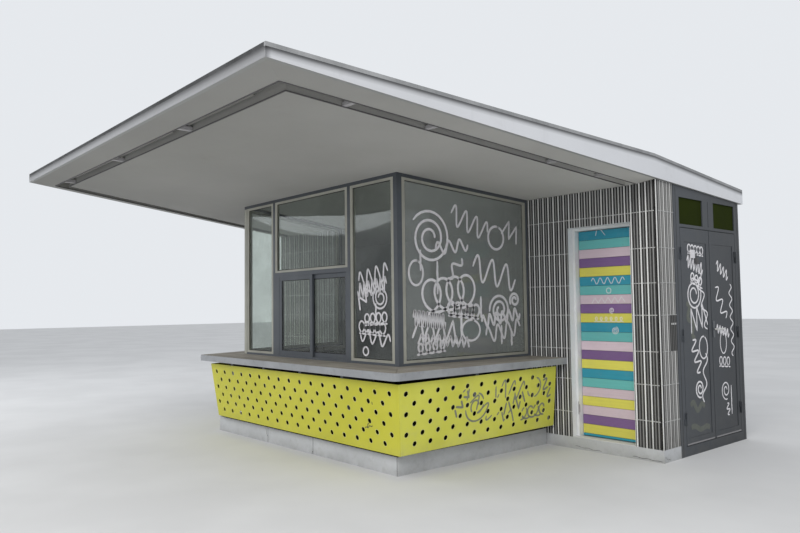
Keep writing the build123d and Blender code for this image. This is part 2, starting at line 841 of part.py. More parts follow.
with BuildPart() as door_leaf:
    add(prism(rectangle(leaf_left, leaf_right, leaf_front, leaf_back), leaf_low, leaf_high))
    for level in door_hinge_heights:
        add(hinge_part(door_axis_x, door_axis_y, level, (door_axis_x - hinge_flap, door_axis_x), hinge_seat))
save(door_leaf, "door_leaf")

# Steel double door in the right side: frame, two leaves opening outwards, panes above
frame_x = (steel_inside, block_right)
front_jamb_end = return_end + steel_jamb
back_jamb_start = block_back - steel_jamb
front_axis_y = front_jamb_end + steel_gap / 2
back_axis_y = back_jamb_start - steel_gap / 2
steel_axis_x = block_right + hinge_out
meeting_y = (front_axis_y + back_axis_y) / 2
steel_leaf_top = soffit_height - steel_leaf_drop
steel_pane_top = soffit_height - steel_pane_drop
rail_low = steel_leaf_top + steel_gap
rail_high = rail_low + steel_rail
mullion_start = meeting_y - steel_meeting_gap / 2 - steel_mullion
mullion_end = meeting_y + steel_meeting_gap / 2 + steel_mullion
steel_leaf_low = steel_sill + steel_gap
steel_leaf_x = (block_right - steel_leaf_thickness, block_right)
steel_hinge_heights = [steel_leaf_low + share * (steel_leaf_top - steel_leaf_low) for share in hinge_levels]
steel_seat = (block_right, block_right + hinge_flap_thickness)

with BuildPart() as steel_frame:
    add(prism(rectangle(*frame_x, return_end, front_jamb_end), 0))
    add(prism(rectangle(*frame_x, back_jamb_start, block_back), 0))
    add(prism(rectangle(*frame_x, return_end, block_back), 0, steel_sill))
    add(prism(rectangle(*frame_x, return_end, block_back), rail_low, rail_high))
    add(prism(rectangle(*frame_x, return_end, block_back), steel_pane_top))
    add(prism(rectangle(*frame_x, mullion_start, meeting_y - steel_meeting_gap / 2), rail_low))
    add(prism(rectangle(*frame_x, meeting_y + steel_meeting_gap / 2, mullion_end), rail_low))
    for level in steel_hinge_heights:
        add(hinge_part(steel_axis_x, front_axis_y, level - hinge_half, steel_seat,
                       (front_axis_y - hinge_flap, front_axis_y)))
        add(hinge_part(steel_axis_x, back_axis_y, level - hinge_half, steel_seat,
                       (back_axis_y, back_axis_y + hinge_flap)))
save(steel_frame, "steel_frame")

pane_x = (block_right - 2 * steel_pane_thickness, block_right - steel_pane_thickness)
join("steel_upper_panes",
     prism(rectangle(*pane_x, front_jamb_end, mullion_start), rail_high, steel_pane_top),
     prism(rectangle(*pane_x, mullion_end, back_jamb_start), rail_high, steel_pane_top))


def steel_leaf(name, y0, y1, axis_y, flap_y):
    """One leaf: a slab with a shallow field between its stiles and its rails."""
    with BuildPart() as leaf:
        add(prism(rectangle(*steel_leaf_x, y0, y1), steel_leaf_low, steel_leaf_top))
        field = rectangle(block_right - steel_panel_recess, block_right, y0 + steel_stile, y1 - steel_stile)
        add(prism(field, steel_leaf_low + steel_stile, steel_leaf_top - steel_top_rail), mode=Mode.SUBTRACT)
        for level in steel_hinge_heights:
            add(hinge_part(steel_axis_x, axis_y, level, steel_seat, flap_y))
    save(leaf, name)


steel_leaf("steel_leaf_front", front_axis_y + steel_gap / 2, meeting_y - steel_meeting_gap / 2,
           front_axis_y, (front_axis_y, front_axis_y + hinge_flap))
steel_leaf("steel_leaf_rear", meeting_y + steel_meeting_gap / 2, back_axis_y - steel_gap / 2,
           back_axis_y, (back_axis_y - hinge_flap, back_axis_y))

# Lever handle of the rear leaf, on its front stile
handle_y = meeting_y + steel_meeting_gap / 2 + handle_inset
with BuildPart() as steel_handle:
    with BuildSketch(Plane(origin=(block_right, handle_y, handle_height), x_dir=(0, 1, 0), z_dir=(1, 0, 0))):
        RectangleRounded(handle_plate_width, handle_plate_height, handle_plate_rounding)
    extrude(amount=handle_plate_thickness)
    with BuildSketch(Plane(origin=(block_right, handle_y, handle_height), x_dir=(0, 1, 0), z_dir=(1, 0, 0))):
        Circle(handle_bar / 2)
    extrude(amount=handle_stand)
    with BuildSketch(Plane(origin=(block_right + handle_stand - handle_bar / 2, handle_y, handle_height),
                           x_dir=(1, 0, 0), z_dir=(0, 1, 0))):
        Circle(handle_bar / 2)
    extrude(amount=handle_length)
save(steel_handle, "steel_handle")
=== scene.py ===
import bpy
import bmesh
import json
import random
from math import cos, dist, floor, pi, radians, sin, tan
from mathutils import Matrix, Vector
from random import uniform as draw


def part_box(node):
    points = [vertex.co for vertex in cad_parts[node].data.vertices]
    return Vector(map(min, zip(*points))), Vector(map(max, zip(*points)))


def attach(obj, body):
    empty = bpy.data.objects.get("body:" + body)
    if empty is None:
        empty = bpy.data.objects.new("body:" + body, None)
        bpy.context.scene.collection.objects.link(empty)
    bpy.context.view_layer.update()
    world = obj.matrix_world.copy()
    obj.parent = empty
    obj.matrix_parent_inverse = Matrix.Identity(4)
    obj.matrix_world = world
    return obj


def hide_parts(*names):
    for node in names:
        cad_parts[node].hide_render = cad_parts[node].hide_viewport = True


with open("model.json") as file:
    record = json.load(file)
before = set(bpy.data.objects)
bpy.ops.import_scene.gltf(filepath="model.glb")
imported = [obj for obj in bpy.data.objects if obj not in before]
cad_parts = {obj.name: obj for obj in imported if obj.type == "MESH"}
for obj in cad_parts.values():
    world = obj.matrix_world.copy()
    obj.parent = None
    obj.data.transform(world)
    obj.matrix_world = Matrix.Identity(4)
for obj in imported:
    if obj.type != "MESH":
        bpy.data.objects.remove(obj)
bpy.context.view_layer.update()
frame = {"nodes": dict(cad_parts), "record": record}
random.seed(7)

# Sizes in metres, the same as in the solid model; each sheet stands out by (foot, top)
FRONT_LENGTH = 2.85
ROOM_DEPTH = 1.885
SPLAY = radians(18)
FLOOR = 0.116
LEDGE_TOP = 0.918
LEDGE_FRONT = 0.45
LEDGE_RIGHT = 0.475
LEDGE_LEFT = 0.396
SHEET_TOP = 0.817
SHEET_BOTTOM = 0.193
SHEET_FRONT_OUT = (0.254, 0.371)
SHEET_RIGHT_OUT = (0.299, 0.421)
SHEET_LEFT_OUT = (0.234, 0.242)
SHEET_THICKNESS = 0.003
SHEET_CORNER_GAP = 0.004
HOLE_RADIUS = 0.023
PLINTH_OUT = 0.195
PLINTH_HEIGHT = 0.165
SOFFIT = 2.706
SOFFIT_FALL = 0.051
BLOCK_RIGHT = 1.52
BLOCK_BACK = 3.615
RETURN_END = 2.2
TILE = 0.025
ROOF_FRONT = 2.275
ROOF_BACK = 3.7
ROOF_RIGHT = 1.54
ROOF_LEFT = 3.4
ROOF_SPLAY = radians(22.5)
MARGIN = 0.222
MARGIN_RISE = 0.024
EDGE_DEPTH = 0.088
TOP_FALL_FRONT = 0.0176
TOP_FALL_BACK = 0.088
RIDGE_Y = 1.85
COVERING = 0.026
SLOT_WIDTH = 0.12
DOOR_LEFT = 0.525
DOOR_RIGHT = 1.235
DOOR_HEAD = 2.252
LINING_FRONT = 1.965
LEAF_FRONT = 2.025
LEAF_BACK = 2.065
STEEL_FIELD = 0.004
ROOT = "kiosk"
DOOR = "door_leaf"
STEEL_FRONT = "steel_leaf_front"
STEEL_REAR = "steel_leaf_rear"
FRONT_SHEET = "perforated_sheet_front"
RIGHT_SHEET = "perforated_sheet_right"
LEFT_SHEET = "perforated_sheet_left"
BEVEL = MARGIN_RISE / MARGIN
SLOT_RIGHT = ROOF_RIGHT - MARGIN
SLOT_FRONT = ROOF_FRONT - MARGIN
SLOT_BACK = ROOF_BACK - MARGIN


def left_x(y, out=0):
    return -FRONT_LENGTH - y * tan(SPLAY) - out / cos(SPLAY)


def roof_left_x(y, inside=0):
    return -ROOF_LEFT - (y + ROOF_FRONT) * tan(ROOF_SPLAY) + inside / cos(ROOF_SPLAY)


def block_left(y, inside=0):
    return roof_left_x(y, ROOF_RIGHT - BLOCK_RIGHT + inside)


def underside(x, y):
    """Height of the roof's underside over a point of the plan."""
    left_out = (roof_left_x(y, MARGIN) - x) * cos(ROOF_SPLAY)
    out = max(0, x - SLOT_RIGHT, -SLOT_FRONT - y, y - SLOT_BACK, left_out)
    return SOFFIT - SOFFIT_FALL * y + BEVEL * out


TOP_FRONT = underside(0, -SLOT_FRONT) + SOFFIT_FALL * MARGIN + MARGIN_RISE + EDGE_DEPTH
RIDGE = TOP_FRONT - TOP_FALL_FRONT * (ROOF_FRONT + RIDGE_Y)


# Materials, kept by their names
LOOKS = {}


class Look:
    """A node material from procedural parts in the object's own coordinates, on clouds of two colours."""

    def __init__(self, name, cloud=None, low=0, high=0):
        self.material = LOOKS[name] = bpy.data.materials.new(name)
        self.material.use_nodes = True
        self.nodes = self.material.node_tree.nodes
        self.nodes.clear()
        self.out = self.node("OutputMaterial")
        self.shader = self.node("BsdfPrincipled")
        self.put(self.out.inputs[0], self.shader.outputs[0])
        self.place = self.node("TexCoord").outputs["Object"]
        if cloud:
            self.cloud = self.noise(*cloud)
            self.base = self.clouds(self.cloud, low, high)

    def put(self, socket, value):
        if isinstance(value, bpy.types.NodeSocket):
            self.material.node_tree.links.new(value, socket)
        elif socket.type == "RGBA":
            socket.default_value = (*value, 1)
        else:
            socket.default_value = value

    def node(self, kind, *values, **named):
        """New node with inputs set or linked, in their order or by name."""
        made = self.nodes.new("ShaderNode" + kind)
        for socket, value in zip(made.inputs, values):
            self.put(socket, value)
        for name, value in named.items():
            self.put(made.inputs[name], value)
        return made

    def noise(self, scale, detail=4, rough=0.55, distort=0, stretch=None, turn=0):
        place = self.place
        if stretch:
            place = self.node("Mapping", Vector=place, Scale=stretch, Rotation=(0, 0, turn)).outputs[0]
        return self.node("TexNoise", Vector=place, Scale=scale, Detail=detail, Roughness=rough,
                         Distortion=distort).outputs["Fac"]

    def ramp(self, fac, *stops):
        """Colour ramp; each stop is (position, colour or grey)."""
        node = self.node("ValToRGB", fac)
        ramp = node.color_ramp
        while len(ramp.elements) < len(stops):
            ramp.elements.new(0.5)
        for element, (position, colour) in zip(ramp.elements, stops):
            element.position = position
            element.color = opaque(colour)
        return node.outputs[0]

    def clouds(self, fac, low, high):
        return self.ramp(fac, (0.3, low), (0.7, high))

    def patches(self, scale, low, high, detail=8, rough=0.7, distort=0, stretch=None):
        """Mask of blotches: 0 where the noise is under low, 1 over high."""
        return self.ramp(self.noise(scale, detail, rough, distort, stretch), (low, 0), (high, 1))

    def runs(self, across, down, low, high, detail=5, rough=0.6):
        """Patches drawn out down a face."""
        return self.patches(1, low, high, detail, rough, stretch=(across, across, down))

    def mix(self, fac, a, b, mode="MIX"):
        node = self.nodes.new("ShaderNodeMix")
        node.data_type = "RGBA"
        node.blend_type = mode
        for index, value in ((0, fac), (6, a), (7, b)):
            self.put(node.inputs[index], value)
        return node.outputs[2]

    def soil(self, share, colour, *masks):
        """Lays a share of a colour over the base where the masks say."""
        for mask in masks:
            share = self.math("MULTIPLY", mask, share)
        self.base = self.mix(share, self.base, colour)

    def times(self, factor, share=1):
        """Multiplies the base by a colour or a grey, in full or by a share."""
        self.base = self.mix(share, self.base, factor, "MULTIPLY")

    def math(self, kind, *values):
        node = self.node("Math", *values)
        node.operation = kind
        return node.outputs[0]

    def linear(self, value, factor, addend):
        return self.math("MULTIPLY_ADD", value, factor, addend)

    def axis(self, name, vector=None):
        """One coordinate of the place or of another vector."""
        return self.node("SeparateXYZ", self.place if vector is None else vector).outputs[name]

    def band(self, axis, start, end):
        """0 at one place along an axis, 1 at another, and level beyond them."""
        return self.node("MapRange", self.axis(axis), start, end).outputs[0]

    def fade(self, axis, start, end, *stops):
        """Ramp between two places along an axis."""
        return self.ramp(self.band(axis, start, end), *stops)

    def below_covering(self):
        """How far a point lies under the lower edge of the roof's covering."""
        tops = [self.linear(self.axis("Y"), -fall, RIDGE - COVERING + fall * RIDGE_Y)
                for fall in (TOP_FALL_FRONT, TOP_FALL_BACK)]
        return self.math("SUBTRACT", self.math("MINIMUM", *tops), self.axis("Z"))

    def upright(self):
        """1 on faces that stand upright, 0 on level ones."""
        normal = self.node("NewGeometry").outputs["True Normal"]
        return self.math("LESS_THAN", self.math("ABSOLUTE", self.axis("Z", normal)), 0.5)

    def shade(self):
        """The shade that each part of a made piece carries."""
        node = self.node("Attribute")
        node.attribute_name = "shade"
        return node.outputs["Color"]

    def finish(self, rough, spec, relief=None, strength=0.12, distance=0.0008):
        """Fills the shader and gives the material; the relief is a height or what noise takes."""
        for name, value in (("Base Color", self.base), ("Roughness", rough), ("Specular IOR Level", spec)):
            self.put(self.shader.inputs[name], value)
        if relief is not None:
            height = self.noise(*relief) if isinstance(relief, tuple) else relief
            bump = self.node("Bump", Strength=strength, Distance=distance, Height=height)
            self.put(self.shader.inputs["Normal"], bump.outputs[0])
        return self.material


def opaque(colour):
    """Four colour parts from a colour or a grey."""
    return (*colour, 1) if isinstance(colour, tuple) else (colour, colour, colour, 1)


def scaled(colour, factor):
    return tuple(min(1, part * factor) for part in colour)


DUST = (0.2, 0.19, 0.17)
GRIME = (0.1, 0.095, 0.085)
ORANGE_PEEL = (160, 3)
FINE_GRAIN = (90, 3)


def paint(name, colour, rough=0.5, grime=0.15, grime_colour=GRIME, grime_scale=2.2, streaks=0, bump=0.12,
          spec=0.4):
    """Weathered paint: cloudy variation, grime patches, orange peel and optional streaks."""
    look = Look(name, (3.1, 5), scaled(colour, 0.88), scaled(colour, 1.12))
    look.soil(grime, grime_colour, look.patches(grime_scale, 0.52, 0.78))
    if streaks:
        look.soil(streaks, grime_colour, look.runs(26, 0.7, 0.55, 0.8))
    return look.finish(look.linear(look.cloud, 0.2, rough - 0.1), spec, ORANGE_PEEL, bump)


def slate_paint():
    """Dark blue-grey steel paint with dust, scratches and a paler foot; painted shade darkens the steel door
    towards its rear and the head rail at the top.
    """
    look = Look("slate_steel", (2.4, 6, 0.6), (0.072, 0.082, 0.096), (0.098, 0.109, 0.124))
    look.soil(0.28, (0.16, 0.16, 0.15), look.patches(5, 0.5, 0.8))
    look.soil(0.3, (0.24, 0.24, 0.235), look.runs(30, 6, 0.66, 0.72, 9, 0.75))
    look.soil(0.22, (0.17, 0.165, 0.15), look.runs(34, 0.8, 0.58, 0.8))
    look.soil(0.35, (0.2, 0.19, 0.165), look.band("Z", 0.5, 0.05), look.patches(8, 0.4, 0.7))
    # Painted shade: the steel door on the right side is darkened, more so towards its rear.
    look.times(look.fade("Y", 2.3, 3.3, (0, 0.62), (1, 0.36)), look.band("X", 1.2, 1.4))
    # Painted shade under the roof: the paint above 2.6 m is darkened.
    look.times(look.fade("Z", 2.55, 2.65, (0, 1), (1, 0.7)))
    return look.finish(look.linear(look.cloud, 0.2, 0.34), 0.35, ORANGE_PEEL)


def soffit_paint():
    """Grey boards with faint stains, and painted shade that darkens them towards the front and the left."""
    look = Look("soffit_paint", (0.9, 5, 0.6), (0.43, 0.425, 0.41), (0.48, 0.475, 0.46))
    look.soil(0.2, (0.27, 0.24, 0.19), look.patches(2.6, 0.6, 0.82, distort=0.6))
    look.soil(0.15, DUST, look.patches(30, 0.68, 0.74))
    # Painted shade: darker towards the front and the left, lighter near the wall.
    look.times(look.fade("Y", -2.3, 2, (0, 0.5), (0.45, 0.7), (0.6, 0.7), (1, 1)))
    look.times(look.fade("X", -4.5, -2, (0, 0.76), (1, 1)))
    look.times((1.36, 1.36, 1.34))
    return look.finish(0.75, 0.25, (70, 4), 0.15, 0.001)


def fascia_paint():
    """Off-white edge boards: faint clouds and thin runs, with painted shade on the underside and towards the
    front, and a painted shadow under the covering.
    """
    look = Look("fascia_paint", (0.8, 6, 0.6), (0.7, 0.71, 0.735), (0.77, 0.78, 0.81))
    look.soil(0.2, (0.3, 0.285, 0.25), look.patches(3.4, 0.55, 0.8, distort=0.4))
    look.soil(0.14, (0.22, 0.21, 0.19), look.runs(7, 0.9, 0.62, 0.85, 4))
    # Painted shade: the fascia darkens towards the front, and its level faces such as the underside are
    # darkened.
    near = look.fade("Y", -2.27, 0.6, (0, 0.3), (0.012, 0.74), (1, 0.9))
    look.times(look.mix(look.upright(), (0.42, 0.42, 0.4), near))
    # Painted shadow under the covering's edge: darker the nearer a point lies to it.
    depth = look.math("DIVIDE", look.below_covering(), 0.05)
    look.times(look.ramp(depth, (0, 0.1), (0.2, 0.2), (0.6, 0.72), (1, 1)))
    return look.finish(0.5, 0.3, (50, 4), 0.1, 0.001)


def roofing():
    """Dark gritty covering; its upright strip is painted lit along the right side and painted shaded
    elsewhere.
    """
    look = Look("roofing", (4, 8, 0.65), 0.035, (0.09, 0.088, 0.082))
    look.soil(0.35, (0.1, 0.105, 0.05), look.patches(7, 0.6, 0.75, distort=0.4))
    worn = look.noise(3, 6, 0.7)
    # Painted light: the upright strip is painted light on the right side and dark on the other sides.
    painted_shaded_strip = look.ramp(worn, (0.35, (0.03, 0.031, 0.032)), (0.7, (0.07, 0.072, 0.075)))
    painted_lit_strip = look.ramp(worn, (0.35, (0.22, 0.225, 0.23)), (0.7, (0.36, 0.365, 0.37)))
    strip = look.mix(look.band("X", ROOF_RIGHT - 0.02, ROOF_RIGHT - 0.01), painted_shaded_strip, painted_lit_strip)
    look.base = look.mix(look.upright(), look.base, strip)
    grit = look.node("TexVoronoi", Vector=look.place, Scale=240).outputs["Distance"]
    return look.finish(0.85, 0.25, grit, 0.4, 0.002)


def concrete(name, colour, stain=0.3):
    """Clouds, stains, a damp foot, chips, and painted shade on the level tops."""
    look = Look(name, (2.4, 7, 0.62), scaled(colour, 0.88), scaled(colour, 1.06))
    look.soil(stain, (0.26, 0.25, 0.23), look.patches(17, 0.52, 0.75))
    damp = look.ramp(look.noise(6, 6, 0.7), (0.35, 0.2), (0.65, 1))
    look.soil(0.5, (0.2, 0.195, 0.17), look.band("Z", 0.09, 0), damp)
    look.soil(0.5, DUST, look.patches(9, 0.72, 0.74, 6, 0.8))
    # Painted shade: level faces higher than 0.13 m, such as the plinth's top under the sheets, are darkened
    # almost to black.
    level = look.math("SUBTRACT", 1, look.upright())
    look.soil(0.9, (0.05, 0.045, 0.035), level, look.band("Z", 0.12, 0.13))
    return look.finish(0.88, 0.25, (60, 7, 0.7), 0.35, 0.002)


def render_plaster():
    look = Look("render", (1.6, 6), (0.33, 0.325, 0.3), (0.41, 0.4, 0.375))
    return look.finish(0.9, 0.2, (120, 5, 0.7), 0.3, 0.0015)


def wood(name, stretch, turn=0):
    """Weathered grey-brown board, its grain drawn out along the board, with its own shade."""
    look = Look(name)
    grain = look.noise(1, 8, 0.7, 0.35, stretch, turn)
    streaks = look.ramp(grain, (0.28, (0.14, 0.12, 0.095)), (0.52, (0.3, 0.27, 0.225)),
                        (0.75, (0.45, 0.41, 0.35)))
    clouds = look.clouds(look.noise(3, 6), (0.23, 0.22, 0.195), (0.44, 0.42, 0.375))
    look.base = look.mix(0.35, streaks, clouds)
    look.times(look.shade())
    return look.finish(0.82, 0.25, grain, 0.5, 0.0015)


def sheet_paint(name, painted_light_tint):
    """Yellow sheet paint with dust, thin runs, dark scuffs and a dirtier foot; each copy is tinted as painted
    light for the side it faces.
    """
    look = Look(name, (1.7, 5), (0.62, 0.6, 0.035), (0.72, 0.69, 0.06))
    look.soil(0.22, (0.44, 0.43, 0.16), look.patches(5, 0.52, 0.8))
    look.soil(0.16, (0.34, 0.33, 0.12), look.runs(34, 1.2, 0.62, 0.84, 4))
    look.soil(0.4, (0.16, 0.15, 0.07), look.runs(12, 26, 0.7, 0.76, 9, 0.75))
    look.soil(0.3, (0.3, 0.28, 0.14), look.band("Z", 0.3, 0.17), look.patches(12, 0.35, 0.7))
    # Painted light: each copy is tinted lighter or darker for the side it faces.
    look.times(painted_light_tint)
    return look.finish(look.linear(look.cloud, 0.18, 0.38), 0.4, (35, 5), 0.08, 0.0015)


def glazed_tile():
    """Pale ribs: each carries its own shade, with dirt that runs down the wall."""
    look = Look("ribbed_tile")
    look.base = (0.86, 0.86, 0.84)
    look.times(look.shade())
    look.soil(0.4, DUST, look.runs(22, 0.8, 0.52, 0.82, 6, 0.65))
    look.soil(0.25, GRIME, look.patches(55, 0.64, 0.74, 5))
    look.soil(0.45, (0.14, 0.135, 0.12), look.band("Z", 0.4, FLOOR), look.patches(6, 0.3, 0.65))
    return look.finish(0.34, 0.5, FINE_GRAIN, 0.1, 0.001)


def dark_ground(name, low, high, rough):
    look = Look(name)
    look.base = look.ramp(look.noise(8, 6, 0.7), (0.3, low), (0.75, high))
    return look.finish(rough, 0.35, FINE_GRAIN, 0.1, 0.001)


def handle_steel():
    """Worn lever on a plate in the door's slate paint."""
    look = Look("handle_steel")
    cloud = look.noise(14, 5)
    lever = look.clouds(cloud, (0.48, 0.48, 0.46), (0.6, 0.6, 0.58))
    plate = look.clouds(cloud, (0.055, 0.062, 0.07), (0.08, 0.088, 0.098))
    look.base = look.mix(look.band("X", 1.534, 1.54), plate, lever)
    return look.finish(0.32, 0.6, ORANGE_PEEL)


def window_glass():
    """Clear pane that reflects more at a glancing angle, under a faint film of dust; on the right-hand panes
    a thicker film is painted light for their brighter reflection.
    """
    look = Look("glass")
    look.nodes.remove(look.shader)
    clear = look.node("BsdfTransparent", (0.87, 0.895, 0.875))
    gloss = look.node("BsdfGlossy", Color=(0.92, 0.95, 0.95), Roughness=0.03)
    film = look.node("BsdfDiffuse", (0.5, 0.52, 0.51))
    glance = look.math("POWER", look.node("LayerWeight", 0.5).outputs["Facing"], 5)
    side = look.band("X", -0.08, -0.06)
    sheen = look.linear(glance, look.linear(side, 0.15, 0.25), 0.035)
    pane = look.node("MixShader", sheen, clear.outputs[0], gloss.outputs[0])
    dust = look.ramp(look.noise(2.2, 7, 0.7), (0.4, 0), (0.75, 1))
    # Painted light: the right-hand panes carry a thicker diffuse film, standing in for their brighter
    # reflection; the rest of the film is dust.
    dust_and_painted_light = look.linear(side, 0.2, look.linear(dust, 0.1, 0.02))
    dusty = look.node("MixShader", dust_and_painted_light, pane.outputs[0], film.outputs[0])
    look.put(look.out.inputs[0], dusty.outputs[0])
    return look.material


def board_paint():
    """Door boards: each carries its own colour, with grain, dust and knocks."""
    look = Look("striped_boards")
    grain = look.noise(1, 7, 0.65, stretch=(2.2, 40, 60))
    look.base = look.shade()
    look.times(look.ramp(grain, (0.25, 0.88), (0.75, 1)))
    look.soil(0.14, (0.3, 0.28, 0.25), look.patches(7, 0.5, 0.8))
    look.soil(0.4, (0.12, 0.1, 0.09), look.patches(26, 0.69, 0.73, 6))
    return look.finish(0.5, 0.35, grain, 0.2)


def scribble_paint(name, colour, fade=0.35):
    """Sprayed or rolled line: worn thin in places, with its own shade."""
    look = Look(name)
    look.base = colour
    look.soil(fade, scaled(colour, 0.6), look.patches(34, 0.35, 0.62, 6))
    look.times(look.shade())
    return look.finish(0.6, 0.3, (120, 3), 0.1, 0.0005)


# Looks of the slots, then those of single pieces
slate_paint()
paint("sash_paint", (0.39, 0.385, 0.33), grime=0.3, streaks=0.15)
paint("white_paint", (0.78, 0.79, 0.79), grime=0.14, streaks=0.08)
fascia_paint()
soffit_paint()
roofing()
concrete("plinth_concrete", (0.5, 0.51, 0.52))
concrete("concrete", (0.36, 0.35, 0.33), 0.4)
render_plaster()
# Painted shade: the front sheet's copy is tinted darker.
sheet_paint("yellow_sheet", (0.85, 0.85, 0.95))
paint("zinc", (0.3, 0.31, 0.325), rough=0.42, grime=0.4, grime_scale=9, bump=0.2)
paint("light_metal", (0.22, 0.215, 0.2), grime=0.5, grime_scale=6)
paint("olive_panel", (0.018, 0.026, 0.002), rough=0.75, grime=0.05, spec=0.04)
handle_steel()
window_glass()
board_paint()
glazed_tile()
LOOKS["ledge_timber"] = wood("ledge_timber_front", (1.6, 38, 38))
LEDGE_SIDE = wood("ledge_timber_side", (38, 1.6, 38))
LEDGE_SPLAYED = wood("ledge_timber_splayed", (38, 1.6, 38), turn=-SPLAY)
GROUND = dark_ground("tile_ground", (0.012, 0.012, 0.013), (0.05, 0.048, 0.045), 0.5)
GASKET = dark_ground("gasket_rubber", 0.01, (0.035, 0.034, 0.033), 0.6)
# Painted highlight: pale yellow for the rims round the sheets' holes.
HOLE_RIM_HIGHLIGHT = scribble_paint("hole_rim_painted_highlight", (0.8, 0.78, 0.42), 0.5)
FOLD = scribble_paint("corner_fold", (0.66, 0.64, 0.08), 0.3)
PALE_LINE = scribble_paint("pale_scribble", (0.86, 0.84, 0.86))
GREY_LINE = scribble_paint("grey_scribble", (0.3, 0.31, 0.23), 0.5)
COVER_PAINT = scribble_paint("cover_paint", (0.13, 0.14, 0.12), 0.4)
# Painted shade: the walls behind the sheets are painted near-black to stand in for the shade there.
SHADE_BEHIND_SHEETS = paint("painted_shade_behind_sheets", (0.014, 0.012, 0.01), rough=0.9, grime=0.2,
                      grime_colour=(0.03, 0.028, 0.02), spec=0.05)
# Painted light: the side sheets' copy is tinted lighter and bluer than the front's.
SHEET_SIDE_PAINTED_LIGHT = sheet_paint("yellow_sheet_side_painted_light", (1, 1.03, 1.9))
OWN_LOOKS = {"apron_walls": SHADE_BEHIND_SHEETS, RIGHT_SHEET: SHEET_SIDE_PAINTED_LIGHT, LEFT_SHEET: SHEET_SIDE_PAINTED_LIGHT}

for entry in frame["record"]["subparts"]:
    mesh = frame["nodes"][entry["node"]].data
    mesh.materials.clear()
    mesh.materials.append(OWN_LOOKS.get(entry["node"], LOOKS[entry["material_slot"]]))


# Mesh tools
def welded(node):
    """Copy of a CAD node's mesh with its split corners joined."""
    mesh = bmesh.new()
    mesh.from_mesh(frame["nodes"][node].data)
    bmesh.ops.remove_doubles(mesh, verts=mesh.verts, dist=1e-5)
    mesh.normal_update()
    return mesh


def islands(mesh):
    """Lists of the vertices that hang together."""
    left = set(mesh.verts)
    found = []
    while left:
        first = left.pop()
        group, queue = [first], [first]
        while queue:
            for edge in queue.pop().link_edges:
                for vert in edge.verts:
                    if vert in left:
                        left.discard(vert)
                        group.append(vert)
                        queue.append(vert)
        found.append(group)
    return found


def sliced(mesh, point, normal):
    """Keeps what lies on the side that the normal shows, and closes the cut."""
    geometry = mesh.verts[:] + mesh.edges[:] + mesh.faces[:]
    bmesh.ops.bisect_plane(mesh, geom=geometry, plane_co=point, plane_no=normal, clear_inner=True)
    open_edges = [edge for edge in mesh.edges if edge.is_boundary]
    if open_edges:
        bmesh.ops.holes_fill(mesh, edges=open_edges, sides=0)
    return mesh


def added(name, data):
    """New object in the scene."""
    made = bpy.data.objects.new(name, data)
    bpy.context.scene.collection.objects.link(made)
    return made


def round_points(radius, sides):
    angles = [2 * pi * i / sides for i in range(sides)]
    return [(radius * cos(angle), radius * sin(angle)) for angle in angles]


